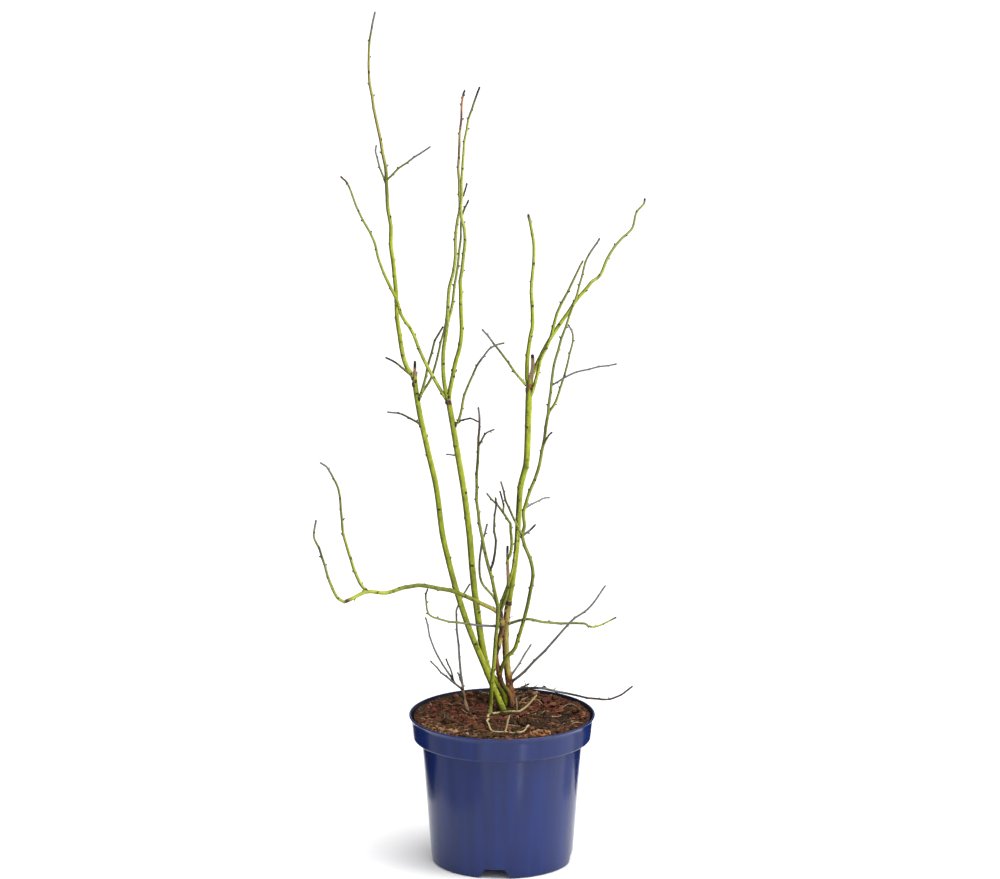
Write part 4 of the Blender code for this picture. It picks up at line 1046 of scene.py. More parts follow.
spurShape = {
    "stops": (0, 0.25, 0.5, 0.75, 1), "taper": (1.0, 0.9, 0.85, 0.75, 0.5), "bow": 0.07,
    "greyRadius": 0.55, "strawRadius": 0.68,
}
runner = {  # lies on the compost from the thin stem to the straws in front
    "radii": (1.9, 1.8, 1.5, 1.3, 1.2, 1.1, 1.3, 1.7, 1.5, 1.1, 1.2, 1.1, 0.8),
    "greenEnd": 4, "sway": 0.8, "swayStep": 0.9, "lift": 1.0,
}


def addSpurs(pile):
    for name, spurs in greySpurs.items():
        limb = limbs[name]
        rule = random.Random("spurs " + name)
        for place, direction, length in spurs:
            towards = Vector(direction).normalized()
            bend = Vector([rule.uniform(-1, 1) for _ in range(3)]) * (length * spurShape["bow"])
            start = limb.point(place * limb.length)
            points = [start + towards * length * share + bend * math.sin(math.pi * share)
                      for share in spurShape["stops"]]
            tone = "straw" if "straw" in name else rule.choice(("ash", "soot"))
            thick = spurShape["strawRadius" if tone == "straw" else "greyRadius"]
            addRod(pile, points, [thick * share for share in spurShape["taper"]], 6, tone)


def addRunner(pile):
    start, end = limbs["stem_thin"].point(0.5), limbs["straw_front"].point(0.5)
    radii, middle = runner["radii"], runner["greenEnd"]
    points = []
    for k in range(len(radii)):
        aside = runner["sway"] * math.sin(k * runner["swayStep"])
        points.append(start.lerp(end, k / (len(radii) - 1)) + Vector((aside, 0, runner["lift"])))
    addRod(pile, points[:middle + 1], radii[:middle + 1], 12, "olive")
    addRod(pile, points[middle:], radii[middle:], 12, "straw")


barkFlakes = {  # limb: (from share, to share, how many)
    "cane_right": (0.0, 0.3, 46),
    "stem_old": (0.0, 1.0, 30),
    "cane_left": (0.0, 0.03, 5),
    "stem_thin": (0.0, 0.04, 4),
}
flakeShape = {
    "length": (3, 9), "width": (0.35, 0.8), "lift": (0.15, 0.9), "thick": 0.18, "narrowing": 0.7,
    "raised": 0.05, "sunk": 0.1, "steps": 4, "tones": ("russet", "umber", "russet", "beige"),
}


def addFlakes(pile):
    # strips of dead bark that lift at one end
    steps, thick = flakeShape["steps"], flakeShape["thick"]
    for name, (low, high, count) in barkFlakes.items():
        limb = limbs[name]
        rule = random.Random("flakes " + name)
        for _ in range(count):
            at = rule.uniform(low, high) * limb.length
            turn = rule.uniform(0, 2 * math.pi)
            length, width, lift = (rule.uniform(*flakeShape[what]) for what in ("length", "width", "lift"))
            tone = rule.choice(flakeShape["tones"])
            first = len(pile.points)
            for step in range(steps + 1):
                share = step / steps
                place = min(at + length * share, limb.length)
                heading = limb.heading(place)
                level, upper = across(heading)
                out = level * math.cos(turn) + upper * math.sin(turn)
                edge = heading.cross(out)
                height = limb.barkRadius(place) + flakeShape["raised"] + lift * share**2
                half = width * (1 - flakeShape["narrowing"] * share) * 0.5
                for sideways, up in ((-half, 0.0), (half, 0.0), (half, thick), (-half, thick)):
                    above = out * (height + up - flakeShape["sunk"])
                    pile.points.append(limb.point(place) + above + edge * sideways)
            for step in range(steps):
                a = first + step * 4
                for k in range(4):
                    pile.addFace((a + k, a + 4 + k, a + 4 + (k + 1) % 4, a + (k + 1) % 4), tone)
            pile.addCap(first, 4, tone)
            pile.addCap(first + steps * 4, 4, tone, isFoot=True)


placeSwells()
ownPieces = {}
twigGroups = {"greenTwigs": "green_twigs", "greyTwigs": "grey_twigs", "strawTwigs": "straw_twigs"}
joined = {group: Pile() for group in twigGroups}
joinedNodes = {group: set() for group in twigGroups}
for limb in limbs.values():
    if limb.node.startswith("twig"):
        group = "strawTwigs" if "straw" in limb.node else "greenTwigs"
        if "grey" in limb.node or "dead" in limb.node:
            group = "greyTwigs"
        skin(limb, joined[group])
        joinedNodes[group].add(limb.node)
    else:
        ownPieces[limb.node] = Pile()
        skin(limb, ownPieces[limb.node])
for node, pile in ownPieces.items():
    makePiece(node + "_bark", pile, "bark", barkMaterial, (node,))
for group, slotName in twigGroups.items():
    makePiece(group, joined[group], "twig", twigMaterial, sorted(joinedNodes[group]))
    print(group, joined[group].triangles(), "triangles")
print("bark of", len(ownPieces), "limbs:", sum(pile.triangles() for pile in ownPieces.values()), "triangles")

budPile, knobPile, spurPile, flakePile = Pile(), Pile(), Pile(), Pile()
for limb in limbs.values():
    dressLimb(limb, budPile)
addKnobs(knobPile)
addSpurs(spurPile)
addRunner(spurPile)
addFlakes(flakePile)
makePiece("buds", budPile, "twig", twigMaterial)
makePiece("woodKnobs", knobPile, "twig", twigMaterial)
makePiece("deadSpurs", spurPile, "twig", twigMaterial)
makePiece("barkFlakes", flakePile, "twig", twigMaterial, smooth=False)
print("buds", budPile.triangles(), "knobs", knobPile.triangles(), "spurs", spurPile.triangles(), "triangles")


# the pot

potShape = {
    "lipHeight": potHigh.z + 0.6, "lipRadius": potHigh.x + 0.5, "lipBead": 0.95, "lipCurl": (-35, 175),
    "flareFoot": 147.0, "flareCurve": 1.7, "bandTopRadius": 92.7, "bandFootRadius": 91.1,
    "bandCentre": 131.5, "bandRound": 2.3, "bandCurl": 52.0, "wallTop": 127.8, "wallTopRadius": 82.3,
    "baseRadius": 72.2, "baseRound": 2.0, "wall": 1.6, "floor": 11.5, "sides": 256, "ringStep": 7.0,
    # the step under the band: how far out and how far below the wall's top
    "step": ((-0.15, 1.9), (-0.02, 1.0), (0.25, 0.4), (0.8, 0.05)), "stepLift": 0.7,
    "ripple": 0.24, "rippleFrom": 8, "rippleRound": 2.6, "rippleUp": 0.004, "sharpFrom": 32,
}
slotShape = {
    "count": 4, "firstAt": -96.0, "below": 33.0, "above": 21.5, "height": 9.8, "under": 2.0,
    "inner": 42.0, "outer": 82.2, "corner": 0.9,
}
plasticLook = {
    "colour": (0.0032, 0.0140, 0.097), "dark": 0.84, "bright": 1.20, "shine": 0.36,
    "rough": (0.15, 0.25), "roughBetween": (0.35, 0.75),
    # painted reflection: upright lighter and darker streaks in the blue
    "streaks": (11.0, 2.0, 0.04), "scuffs": (2.2, 6.0, 0.12), "bump": (0.03, 0.02),
}
# inside of the wall: painted shade, near-black in place of the blue, with dust
insideLook = {
    "colour": (0.004, 0.006, 0.020), "dark": 0.7, "dustColour": (0.020, 0.014, 0.012), "shine": 0.25,
    "rough": 0.38, "dust": (3.0, 4.0), "bump": (0.1, 0.05),
}


def arc(centre, radius, start, end, steps):
    points = []
    for k in range(steps + 1):
        angle = math.radians(start + (end - start) * k / steps)
        points.append((centre[0] + radius * math.cos(angle), centre[1] + radius * math.sin(angle)))
    return points


def wallProfile(inset):
    # tapered wall, step out to the band, and a short flare to the lip
    pot = potShape
    slope = (pot["wallTopRadius"] - pot["baseRadius"]) / pot["wallTop"]
    lift = inset * pot["stepLift"]
    points = []
    height = pot["floor"]
    while height < pot["wallTop"] - 3:
        points.append((pot["baseRadius"] + slope * height - inset, height))
        height += pot["ringStep"]
    for out, below in pot["step"]:
        points.append((pot["wallTopRadius"] + out - inset, pot["wallTop"] - below + lift))
    corner = (pot["bandFootRadius"] - pot["bandRound"], pot["bandCentre"] + lift)
    points += [(x - inset, y) for x, y in arc(corner, pot["bandRound"], -pot["bandCurl"], 0, 8)]
    drop = pot["flareFoot"] - pot["bandCentre"] - lift
    for k in range(1, 5):
        widening = (pot["bandTopRadius"] - pot["bandFootRadius"]) * k / 4
        points.append((pot["bandFootRadius"] + widening - inset, pot["bandCentre"] + lift + drop * k / 4))
    beadFoot = pot["lipHeight"] - 2.4 * pot["lipBead"]
    for k in range(1, 5):
        flare = (pot["lipRadius"] - pot["lipBead"] - pot["bandTopRadius"]) * (k / 4) ** pot["flareCurve"]
        height = pot["flareFoot"] + (beadFoot - pot["flareFoot"]) * k / 4
        points.append((pot["bandTopRadius"] + flare - inset, height))
    return points


def potPlastic(name):
    # drawn upwards in the mould, so its gloss runs in faint upright scuffs; its blue carries faint upright
    # lighter and darker streaks of painted reflection
    look = plasticLook
    colour = look["colour"]
    material, tree, shader = newMaterial(name, look["rough"][0], look["shine"])
    addColours(tree, shader, addNoise(tree, *look["streaks"]), (
        (0.30, shaded(colour, look["dark"])), (0.50, colour), (0.70, shaded(colour, look["bright"]))))
    scuffs = addNoise(tree, *look["scuffs"])
    rough = addRange(tree, scuffs, look["roughBetween"], look["rough"])
    tree.links.new(rough, shader.inputs["Roughness"])
    addBump(tree, shader, scuffs, *look["bump"])
    return material


def potInside(name):
    # the inside of the wall: its blue painted near-black as shade, with dust
    look = insideLook
    material, tree, shader = newMaterial(name, look["rough"], look["shine"])
    dust = addNoise(tree, *look["dust"])
    addColours(tree, shader, dust, (
        (0.35, shaded(look["colour"], look["dark"])), (0.60, look["colour"]), (0.80, look["dustColour"])))
    addBump(tree, shader, dust, *look["bump"])
    return material


def potRing(bm, radius, height):
    pot = potShape
    if radius < 1e-6:
        return [bm.verts.new((0, 0, height * mm))]
    depth = pot["ripple"] if pot["rippleFrom"] < height < pot["flareFoot"] else 0
    ring = []
    for k in range(pot["sides"]):
        angle = 2 * math.pi * k / pot["sides"]
        x, y = math.cos(angle) * pot["rippleRound"], math.sin(angle) * pot["rippleRound"]
        r = (radius + depth * noise.noise(Vector((x, y, height * pot["rippleUp"])))) * mm
        ring.append(bm.verts.new((r * math.cos(angle), r * math.sin(angle), height * mm)))
    return ring


def buildPot():
    pot = potShape
    bead = (pot["lipRadius"] - pot["lipBead"], pot["lipHeight"] - pot["lipBead"])
    profile = [(0, 0), (30, 0), (60, 0)]
    profile += arc((pot["baseRadius"] - pot["baseRound"], pot["baseRound"]), pot["baseRound"], -90, 0, 6)
    profile += wallProfile(0.0)
    profile += arc(bead, pot["lipBead"], *pot["lipCurl"], 14)
    # from the top of the lip bead inwards the wall takes the inside finish of painted shade
    insideFrom = len(profile) - 4
    profile += reversed(wallProfile(pot["wall"]))
    profile.append((0, pot["floor"]))
    bm = bmesh.new()
    rings = [potRing(bm, radius, height) for radius, height in profile]
    for order, (lower, higher) in enumerate(zip(rings, rings[1:])):
        for k in range(pot["sides"]):
            following = (k + 1) % pot["sides"]
            if len(lower) == 1:
                face = bm.faces.new((lower[0], higher[k], higher[following]))
            elif len(higher) == 1:
                face = bm.faces.new((lower[k], lower[following], higher[0]))
            else:
                face = bm.faces.new((lower[k], lower[following], higher[following], higher[k]))
            face.material_index = 1 if order >= insideFrom else 0
    bmesh.ops.recalc_face_normals(bm, faces=bm.faces)
    mesh = bpy.data.meshes.new("nurseryPot")
    bm.to_mesh(mesh)
    bm.free()
    mesh.materials.append(potPlastic("pot_plastic"))
    mesh.materials.append(potInside("pot_inside"))
    piece = addObject("nurseryPot", mesh)
    cutters = [slotCutter(k) for k in range(slotShape["count"])]
    for cutter in cutters:
        cut = piece.modifiers.new("slot", "BOOLEAN")
        cut.operation = "DIFFERENCE"
        cut.object = cutter
        cut.solver = "EXACT"
    done = bpy.data.meshes.new_from_object(piece.evaluated_get(bpy.context.evaluated_depsgraph_get()))
    piece.modifiers.clear()
    piece.data = done
    for cutter in cutters:
        bpy.data.objects.remove(cutter)
    done.shade_smooth()
    done.set_sharp_from_angle(angle=math.radians(pot["sharpFrom"]))
    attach(piece, "root")
    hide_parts("pot")
    print("pot turned:", len(done.polygons), "faces")


def slotCutter(order):
    # a wedge from the pot's inside to beyond its wall, narrower at the top, with round upper corners
    slot = slotShape
    height, under = slot["height"], slot["under"]
    above = slot["above"] / 2
    slant = (slot["below"] / 2 - above) / height
    below = slot["below"] / 2 + slant * under
    outline = [(-below, -under), (below, -under), (above, height), (-above, height)]
    bm = bmesh.new()
    inner = [bm.verts.new((slot["inner"] * mm, y * mm, z * mm)) for y, z in outline]
    outer = [bm.verts.new((slot["outer"] * mm, y * mm, z * mm)) for y, z in outline]
    bm.faces.new(inner)
    bm.faces.new(reversed(outer))
    for k in range(4):
        following = (k + 1) % 4
        bm.faces.new((inner[k], outer[k], outer[following], inner[following]))
    upper = [edge for edge in bm.edges if all(abs(v.co.z - height * mm) < 1e-6 for v in edge.verts)
             and abs(edge.verts[0].co.x - edge.verts[1].co.x) > 1e-3]
    bmesh.ops.bevel(bm, geom=upper, offset=slot["corner"] * mm, segments=4, affect="EDGES", profile=0.5)
    turn = math.radians(slot["firstAt"] + 360 / slot["count"] * order)
    bmesh.ops.rotate(bm, verts=bm.verts, cent=(0, 0, 0), matrix=Matrix.Rotation(turn, 3, "Z"))
    bmesh.ops.recalc_face_normals(bm, faces=bm.faces)
    mesh = bpy.data.meshes.new("slotCutter")
    bm.to_mesh(mesh)
    bm.free()
    return addObject("slotCutter", mesh)


buildPot()


# the compost

compostShape = {
    "top": footLevel - gap, "bump": 3.4, "fade": 8.0, "least": 0.15, "edge": 90.6, "depth": 12.0,
    "footShare": 0.93,
    # waves across the ground: along x, along y, start and height
    "waves": ((0.31, 0.06, 0.0, 1.0), (0.09, 0.27, 2.1, 1.0), (0.11, -0.35, 0.0, 0.6)),
    "rings": 76, "sides": 230, "sink": 1.6, "heaped": 7.4, "heapedFrom": 60.0,
    "crumble": 1.7, "crumbleScale": 0.42, "fineScale": 1.1, "fineShare": 0.6,
    "lumpPlace": (36, -60), "lumpReach": 12.5, "lumpHeight": 3.8,
}
# patches where one kind of bark lies, and one dark patch of painted shade: across, back, reach and the tones
# there
compostPatches = (
    (36, -60, 13, ("orange", "orange", "rust", "orange", "tan", "orange")),
    (-62, -42, 25, ("tan", "brown", "rust", "orange", "brown", "brown")),
    (50, 52, 20, ("red", "rust", "red", "brown")),
    # painted shade: a dark patch near the middle
    (26, -14, 18, ("peat", "peat", "red", "brown")),
    (22, 74, 16, ("tan", "brown", "orange", "brown")),
    (-20, -62, 22, ("peat", "brown", "peat", "grey", "brown")),
    (-58, 34, 24, ("red", "red", "brown", "peat", "rust")),
    (-30, 10, 16, ("red", "rust", "peat", "brown")),
    (60, 4, 16, ("grey", "peat", "brown", "peat")),
)
patchEdge = {"least": 0.7, "ragged": 0.5, "reddishScale": 0.07, "reddishFrom": 0.15}
reddish = ("red", "brown", "rust", "peat", "red", "brown")
mixed = ("brown", "peat", "brown", "red", "grey", "brown", "peat", "rust")
compostTones = {  # colour and roughness
    "peat": ((0.022, 0.0095, 0.003), 0.95), "brown": ((0.060, 0.026, 0.007), 0.90),
    "red": ((0.100, 0.024, 0.014), 0.85), "rust": ((0.175, 0.056, 0.024), 0.84),
    "orange": ((0.330, 0.135, 0.045), 0.85), "tan": ((0.300, 0.180, 0.090), 0.85),
    "pale": ((0.520, 0.400, 0.250), 0.82), "grey": ((0.060, 0.048, 0.040), 0.90),
}
chipLook = {"shine": 0.25, "grain": (0.6, 5.0), "bump": (0.6, 0.2)}
# the ground between the chips: dark tones, partly dark peat and partly painted shade in the gaps
groundLook = {
    "rough": 0.95, "shine": 0.2, "crumbs": (2.4, 8.0), "bump": (0.9, 0.8),
    "tones": ((0.40, "peat"), (0.60, "brown"), (0.75, "red"), (0.88, "grey")),
}


def compostHeight(x, y):
    shape = compostShape
    lumps = sum(height * math.sin(x * alongX + y * alongY + start)
                for alongX, alongY, start, height in shape["waves"])
    highest = sum(wave[-1] for wave in shape["waves"])
    middle = math.hypot(x, y)
    fade = min(1.0, max(shape["least"], (shape["edge"] - middle) / shape["fade"]))
    level = shape["top"] + max(0.0, lumps / highest) * shape["bump"] * fade
    far = math.hypot(x - shape["lumpPlace"][0], y - shape["lumpPlace"][1]) / shape["lumpReach"]
    rise = min(1.0, max(0.0, (middle - shape["heapedFrom"]) / (shape["edge"] - shape["heapedFrom"])))
    heap = shape["heaped"] * rise * rise * (3 - 2 * rise)
    return level + shape["lumpHeight"] * math.exp(-far**2) + heap - shape["sink"]


def isUnderTwig(x, y, reach):
    # keeps the compost from burying the limbs that lie on it
    for point, _, _ in limbTree.find_range(Vector((x, y, footLevel + 1.5)), reach + 3.5):
        if math.hypot(point.x - x, point.y - y) < reach:
            return True
    return False


def chipMaterial(tone):
    colour, rough = compostTones[tone]
    material, tree, shader = newMaterial("compost_" + tone, rough, chipLook["shine"], colour)
    addBump(tree, shader, addNoise(tree, *chipLook["grain"]), *chipLook["bump"])
    return material


def soilMaterial(tone):
    material, tree, shader = newMaterial("compost_" + tone, groundLook["rough"], groundLook["shine"])
    crumbs = addNoise(tree, *groundLook["crumbs"])
    addColours(tree, shader, crumbs, [(place, compostTones[name][0]) for place, name in groundLook["tones"]])
    addBump(tree, shader, crumbs, *groundLook["bump"])
    return material


def buildSoil():
    # the ground between the chips, closed below so that it is a solid plug
    shape = compostShape
    pile = Pile()
    count, coarse, fine = shape["sides"], shape["crumbleScale"], shape["fineScale"]
    bottom = shape["top"] - shape["depth"]
    pile.points.append(Vector((0, 0, compostHeight(0, 0))))
    for ringIndex in range(1, shape["rings"] + 1):
        radius = shape["edge"] * (ringIndex / shape["rings"])
        for k in range(count):
            angle = 2 * math.pi * k / count
            x, y = radius * math.cos(angle), radius * math.sin(angle)
            rough = noise.noise(Vector((x * coarse, y * coarse, 0)))
            rough += shape["fineShare"] * noise.noise(Vector((x * fine, y * fine, 5)))
            pile.points.append(Vector((x, y, compostHeight(x, y) + shape["crumble"] * rough)))
    foot = shape["edge"] * shape["footShare"]
    for k in range(count):
        angle = 2 * math.pi * k / count
        pile.points.append(Vector((foot * math.cos(angle), foot * math.sin(angle), bottom)))
    pile.points.append(Vector((0, 0, bottom)))
    for k in range(count):
        following = (k + 1) % count
        pile.addFace((0, 1 + k, 1 + following), "ground")
        for ringIndex in range(shape["rings"]):
            inner, outer = 1 + ringIndex * count, 1 + (ringIndex + 1) * count
            pile.addFace((inner + k, outer + k, outer + following, inner + following), "ground")
        last = 1 + shape["rings"] * count
        pile.addFace((last + following, last + k, len(pile.points) - 1), "ground")
    makePiece("compostGround", pile, "soil", soilMaterial, ("compost",))


def chipTone(x, y, rule):
    for right, back, reach, tones in compostPatches:
        far = math.hypot(x - right, y - back) / reach
        if far < patchEdge["least"] + patchEdge["ragged"] * rule.random():
            return rule.choice(tones)
    scale = patchEdge["reddishScale"]
    patch = noise.noise(Vector((x * scale, y * scale, 9)))
    return rule.choice(reddish if patch > patchEdge["reddishFrom"] else mixed)


def randomPlace(rule, margin):
    reach = (compostShape["edge"] - margin) * math.sqrt(rule.random())
    turn = rule.uniform(0, 2 * math.pi)
    return reach * math.cos(turn), reach * math.sin(turn)


chipMix = {  # how many, shortest and longest, thickness, and how far they tilt
    "chips": (1900, (2.4, 9.5), (0.5, 1.5), 0.55), "slabs": (150, (8.0, 17.0), (1.2, 2.6), 0.32),
    "shortBias": 2.0, "width": (0.3, 0.7), "lift": (-0.3, 0.9), "tiltLift": 0.12, "lipRoom": 0.8,
    "paleSlab": "brown",
}
chipShape = {
    "roll": (-0.4, 0.4), "corners": (5, 8), "arch": (-0.12, 0.25), "ragged": 0.3, "spread": (0.7, 1.12),
    "upperShrink": 0.86, "ridge": (0.5, 0.9), "ridgeArch": 0.3,
}


def addChip(pile, centre, size, turn, tilt, tone, rule):
    # a broken shard of bark: a lens with a ragged outline
    shape = chipShape
    length, width, thick = size
    roll = Matrix.Rotation(rule.uniform(*shape["roll"]), 3, "Y")
    spin = Matrix.Rotation(turn, 3, "Z") @ Matrix.Rotation(tilt, 3, "X") @ roll
    corners = rule.randint(*shape["corners"])
    arch = rule.uniform(*shape["arch"]) * length
    first = len(pile.points)
    ring = []
    for k in range(corners):
        angle = 2 * math.pi * (k + rule.uniform(-shape["ragged"], shape["ragged"])) / corners
        spread = rule.uniform(*shape["spread"])
        ring.append((math.cos(angle) * length / 2 * spread, math.sin(angle) * width / 2 * spread))
    for level, shrink in ((-0.5, 1.0), (0.5, shape["upperShrink"])):
        for x, y in ring:
            z = level * thick - arch * (x / length) ** 2
            pile.points.append(centre + spin @ Vector((x * shrink, y * shrink, z)))
    ridge = thick * rule.uniform(*shape["ridge"]) + arch * shape["ridgeArch"]
    pile.points.append(centre + spin @ Vector((0, 0, ridge)))
    upper = first + corners
    for k in range(corners):
        following = (k + 1) % corners
        pile.addFace((first + k, first + following, upper + following, upper + k), tone)
        pile.addFace((upper + k, upper + following, len(pile.points) - 1), tone)
    pile.addCap(first, corners, tone, isFoot=True)


def scatterChips():
    pile = Pile()
    rule = random.Random("bark chips")
    for kind in ("chips", "slabs"):
        count, (shortest, longest), thickness, tilts = chipMix[kind]
        for _ in range(count):
            length = shortest + (longest - shortest) * rule.random()**chipMix["shortBias"]
            x, y = randomPlace(rule, length / 2 + chipMix["lipRoom"])
            if isUnderTwig(x, y, length * 0.4 + 1.2):
                continue
            thick = rule.uniform(*thickness)
            tilt = rule.gauss(0, tilts)
            lift = rule.uniform(*chipMix["lift"]) + abs(math.sin(tilt)) * length * chipMix["tiltLift"]
            centre = Vector((x, y, compostHeight(x, y) + lift + thick / 2))
            tone = chipTone(x, y, rule)
            if kind == "slabs" and tone in ("tan", "orange", "pale"):
                tone = chipMix["paleSlab"]
            width = length * rule.uniform(*chipMix["width"])
            turn = rule.uniform(0, 2 * math.pi)
            addChip(pile, centre, (length, width, thick), turn, tilt, tone, rule)
    makePiece("barkChips", pile, "chip", chipMaterial, smooth=False)
    return pile.triangles()


clodMix = {
    "count": 75, "size": (2.0, 5.0), "smallBias": 1.6, "room": 1.5, "raised": 0.12,
    "stretch": ((0.9, 1.5), (0.7, 1.1), (0.45, 0.75)), "rough": (0.8, 1.5), "fine": (0.35, 4.5),
}
clodTones = {"tan": "brown", "orange": "rust", "rust": "red", "peat": "brown", "grey": "brown"}


def scatterClods():
    # lumps of peat and bark that stand out of the surface
    pile = Pile()
    rule = random.Random("clods")
    ball, faces = ballShape(3)
    (low, high), (rough, roughScale), (fine, fineScale) = clodMix["size"], clodMix["rough"], clodMix["fine"]
    for _ in range(clodMix["count"]):
        size = low + (high - low) * rule.random()**clodMix["smallBias"]
        x, y = randomPlace(rule, size + clodMix["room"])
        if isUnderTwig(x, y, size + clodMix["room"]):
            continue
        first = len(pile.points)
        shift = Vector([rule.uniform(0, 90) for _ in range(3)])
        spin = Matrix.Rotation(rule.uniform(0, 6.3), 3, "Z")
        stretch = Vector([rule.uniform(*limits) for limits in clodMix["stretch"]])
        centre = Vector((x, y, compostHeight(x, y) + size * clodMix["raised"]))
        for point in ball:
            bulge = 1 + rough * noise.noise(point * roughScale + shift)
            bulge += fine * noise.noise(point * fineScale + shift)
            pile.points.append(centre + spin @ (point * stretch * (size * bulge)))
        tone = chipTone(x, y, rule)
        pile.addFaces(first, faces, clodTones.get(tone, tone))
    makePiece("compostClods", pile, "chip", chipMaterial)
    return pile.triangles()


crumbMix = {
    "count": 4600, "size": (0.3, 1.1), "lipRoom": 0.3, "lift": (0, 1.1),
    "squash": ((0.7, 1.4), (0.7, 1.4), (0.5, 1.0)), "rough": (0.72, 1.2),
}


def scatterCrumbs():
    pile = Pile()
    rule = random.Random("crumbs")
    ball, faces = ballShape(1)
    for _ in range(crumbMix["count"]):
        size = rule.uniform(*crumbMix["size"])
        x, y = randomPlace(rule, size + crumbMix["lipRoom"])
        centre = Vector((x, y, compostHeight(x, y) + rule.uniform(*crumbMix["lift"])))
        tone = chipTone(x, y, rule)
        first = len(pile.points)
        squash = Vector([rule.uniform(*limits) for limits in crumbMix["squash"]]) * size
        for point in ball:
            pile.points.append(centre + point * squash * rule.uniform(*crumbMix["rough"]))
        pile.addFaces(first, faces, tone)
    makePiece("barkCrumbs", pile, "chip", chipMaterial, smooth=False)
    return pile.triangles()


fibreMix = {
    "count": 330, "length": (5.0, 22.0), "shortBias": 2, "place": (-62, -42), "spread": (15, 12),
    "room": 0.55, "bow": 0.16, "rise": (0.4, 1.1), "above": 1.3, "radius": (0.14, 0.34),
    "taper": (0.5, 0.9, 1, 1, 1, 0.8, 0.4), "tones": ("tan", "pale", "rust", "orange", "brown", "tan"),
}


def scatterFibres():
    # every third fibre lies near the pale patch at the front left
    pile = Pile()
    rule = random.Random("fibres")
    low, high = fibreMix["length"]
    for index in range(fibreMix["count"]):
        length = low + (high - low) * rule.random()**fibreMix["shortBias"]
        x, y = randomPlace(rule, length * fibreMix["room"])
        if index % 3 == 0:
            x, y = (at + rule.gauss(0, spread) for at, spread in zip(fibreMix["place"], fibreMix["spread"]))
            if math.hypot(x, y) > compostShape["edge"] - length * fibreMix["room"]:
                continue
        turn = rule.uniform(0, 2 * math.pi)
        bow = rule.gauss(0, fibreMix["bow"]) * length
        rise = max(0.0, rule.gauss(*fibreMix["rise"]))
        points = []
        for step in range(7):
            s = step / 6 - 0.5
            px = x + math.cos(turn) * length * s - math.sin(turn) * bow * (0.25 - s * s) * 4
            py = y + math.sin(turn) * length * s + math.cos(turn) * bow * (0.25 - s * s) * 4
            level = compostHeight(px, py) + fibreMix["above"] + rise * (0.25 - s * s) * 4
            points.append(Vector((px, py, level)))
        thick = rule.uniform(*fibreMix["radius"])
        tone = rule.choice(fibreMix["tones"])
        addRod(pile, points, [thick * share for share in fibreMix["taper"]], 5, tone)
    makePiece("compostFibres", pile, "chip", chipMaterial)
    return pile.triangles()


buildSoil()
print("compost: chips", scatterChips(), "clods", scatterClods(), "triangles")
print("compost: crumbs", scatterCrumbs(), "fibres", scatterFibres(), "triangles")


# floor, light and camera

studio = {  # metres, degrees and watts
    "floorReach": 60.0, "floorDrop": 0.0002, "floorFinish": (0.9, 0.1, (0.92, 0.92, 0.92)),
    "skyFrom": (0.75, -0.30, 0.60), "skyBetween": (-0.8, 0.8), "skyStrength": (0.10, 1.15),
    "topTurn": 50.0, "topHeight": 78.0, "topStrength": 1.9, "topSoftness": 50.0,
    "boxPlace": (0.80, -0.42, 0.86), "boxAim": (0, 0, 0.42), "boxSize": (0.55, 1.0), "boxPower": 6.0,
    "cards": (  # how bright, and the points of the lower edge
        (0.0, ((-0.250, 0.024, 0.046), (-0.205, 0.088, 0.004), (-0.148, 0.170, 0.050))),
        (0.0, ((0.222, 0.084, 0.051), (0.162, 0.151, 0.003), (0.122, 0.196, 0.083))),
        (0.92, ((-0.120, -0.236, 0.0), (-0.195, -0.104, 0.0))),
        (0.70, ((-0.195, -0.104, 0.0), (-0.262, 0.016, 0.0))),
        (0.45, ((-0.262, 0.016, 0.0), (-0.156, 0.180, 0.0))),
        (1.75, ((-0.073, -0.257, 0.0), (-0.100, -0.246, 0.0))),
        (3.20, ((0.092, -0.250, 0.0), (0.117, -0.237, 0.0))),
        (1.66, ((0.205, -0.160, 0.0), (0.240, 0.000, 0.0))),
        (0.70, ((0.250, 0.010, 0.0), (0.228, 0.094, 0.0)))),
    "cardTop": 0.30, "cardColour": (0.01, 0.01, 0.012),
}
cameraView = {
    "distance": 6.0, "elevation": 13.7, "aim": (-0.002, 0.0, 0.444), "focal": 5916.0, "frameWidth": 1000.0,
    "sensor": 36.0, "farthest": 100.0,
}


def buildFloor():
    reach = studio["floorReach"]
    corners = [(-reach, -reach, 0), (reach, -reach, 0), (reach, reach, 0), (-reach, reach, 0)]
    mesh = bpy.data.meshes.new("studioFloor")
    mesh.from_pydata(corners, [], [(0, 1, 2, 3)])
    floor = addObject("studioFloor", mesh)
    floor.location.z = -studio["floorDrop"]
    mesh.materials.append(newMaterial("paper_floor", *studio["floorFinish"])[0])


def buildCards():
    # dark, grey and bright cards round the pot, that only its shine sees
    for order, (glow, edge) in enumerate(studio["cards"]):
        material, _, shader = newMaterial("card_finish%d" % order, 1.0, colour=studio["cardColour"])
        shader.inputs["Emission Color"].default_value = (1.0, 1.0, 1.0, 1.0)
        shader.inputs["Emission Strength"].default_value = glow
        corners = list(edge) + [(x, y, studio["cardTop"]) for x, y, _ in reversed(edge)]
        mesh = bpy.data.meshes.new("shineCard%d" % order)
        mesh.from_pydata(corners, [], [tuple(range(len(corners)))])
        mesh.materials.append(material)
        card = addObject(mesh.name, mesh)
        card.visible_camera = False
        card.visible_diffuse = False
        card.visible_shadow = False


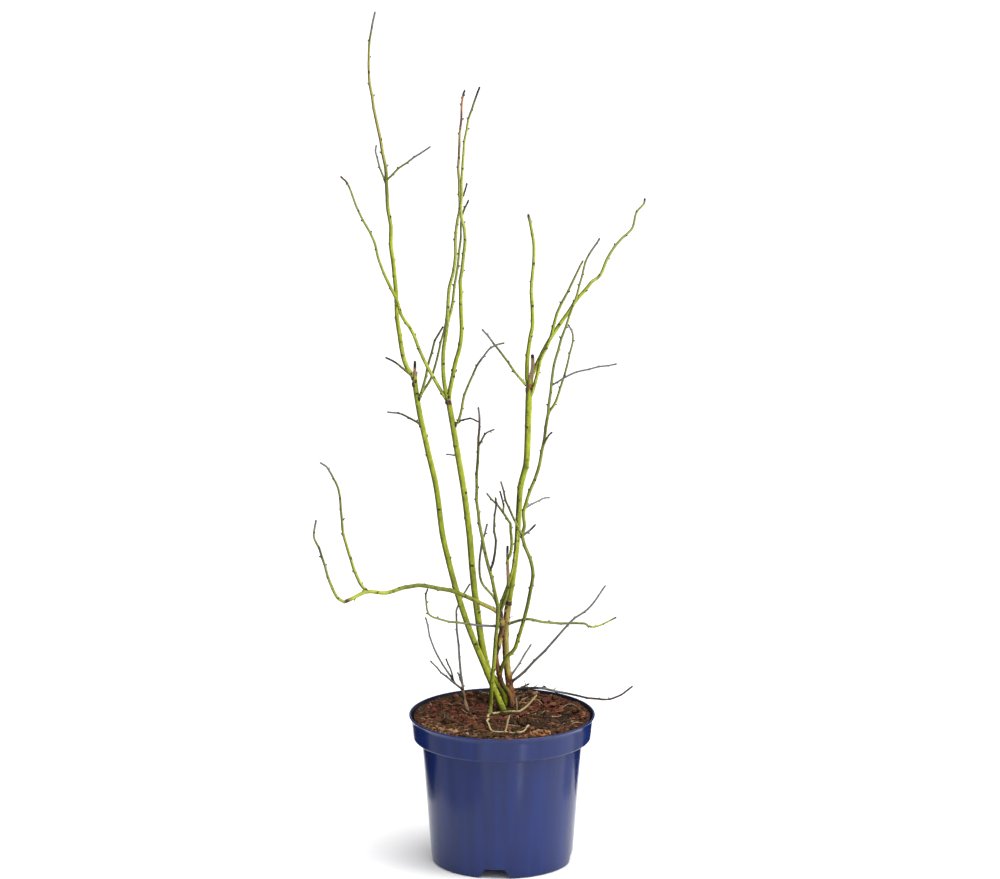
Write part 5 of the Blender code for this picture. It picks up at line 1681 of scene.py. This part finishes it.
def paintSky():
    # brightens towards the upper right
    world = bpy.data.worlds.new("studioSky")
    bpy.context.scene.world = world
    world.use_nodes = True
    tree = world.node_tree
    coords = tree.nodes.new("ShaderNodeTexCoord")
    facing = tree.nodes.new("ShaderNodeVectorMath")
    facing.operation = "DOT_PRODUCT"
    facing.inputs[1].default_value = Vector(studio["skyFrom"]).normalized()
    tree.links.new(coords.outputs["Generated"], facing.inputs[0])
    strength = addRange(tree, facing.outputs["Value"], studio["skyBetween"], studio["skyStrength"])
    background = tree.nodes["Background"]
    tree.links.new(strength, background.inputs["Strength"])
    background.inputs["Color"].default_value = (1.0, 1.0, 1.0, 1.0)


def pointAt(thing, towards):
    thing.rotation_euler = towards.to_track_quat("Z", "Y").to_euler()


def lightStudio():
    # a soft lamp overhead and a tall softbox at the right
    lamp = bpy.data.lights.new("topLight", "SUN")
    lamp.energy = studio["topStrength"]
    lamp.angle = math.radians(studio["topSoftness"])
    turn, height = math.radians(studio["topTurn"]), math.radians(studio["topHeight"])
    level = Vector((math.sin(turn), -math.cos(turn), 0)) * math.cos(height)
    pointAt(addObject("topLight", lamp), level + Vector((0, 0, math.sin(height))))

    softbox = bpy.data.lights.new("softbox", "AREA")
    softbox.shape = "RECTANGLE"
    softbox.size, softbox.size_y = studio["boxSize"]
    softbox.energy = studio["boxPower"]
    box = addObject("softbox", softbox)
    box.location = studio["boxPlace"]
    pointAt(box, Vector(studio["boxPlace"]) - Vector(studio["boxAim"]))
    box.visible_camera = False
    bpy.context.scene.view_settings.view_transform = "Standard"


def placeCamera():
    data = bpy.data.cameras.new("photoCamera")
    data.sensor_width = cameraView["sensor"]
    data.sensor_fit = "HORIZONTAL"
    data.lens = cameraView["focal"] * data.sensor_width / cameraView["frameWidth"]
    data.clip_end = cameraView["farthest"]
    camera = addObject("photoCamera", data)
    tilt = math.radians(cameraView["elevation"])
    back = Vector((0, -math.cos(tilt), math.sin(tilt)))
    camera.location = Vector(cameraView["aim"]) + back * cameraView["distance"]
    pointAt(camera, back)
    bpy.context.scene.camera = camera


buildFloor()
buildCards()
paintSky()
lightStudio()
placeCamera()
print("studio lit")
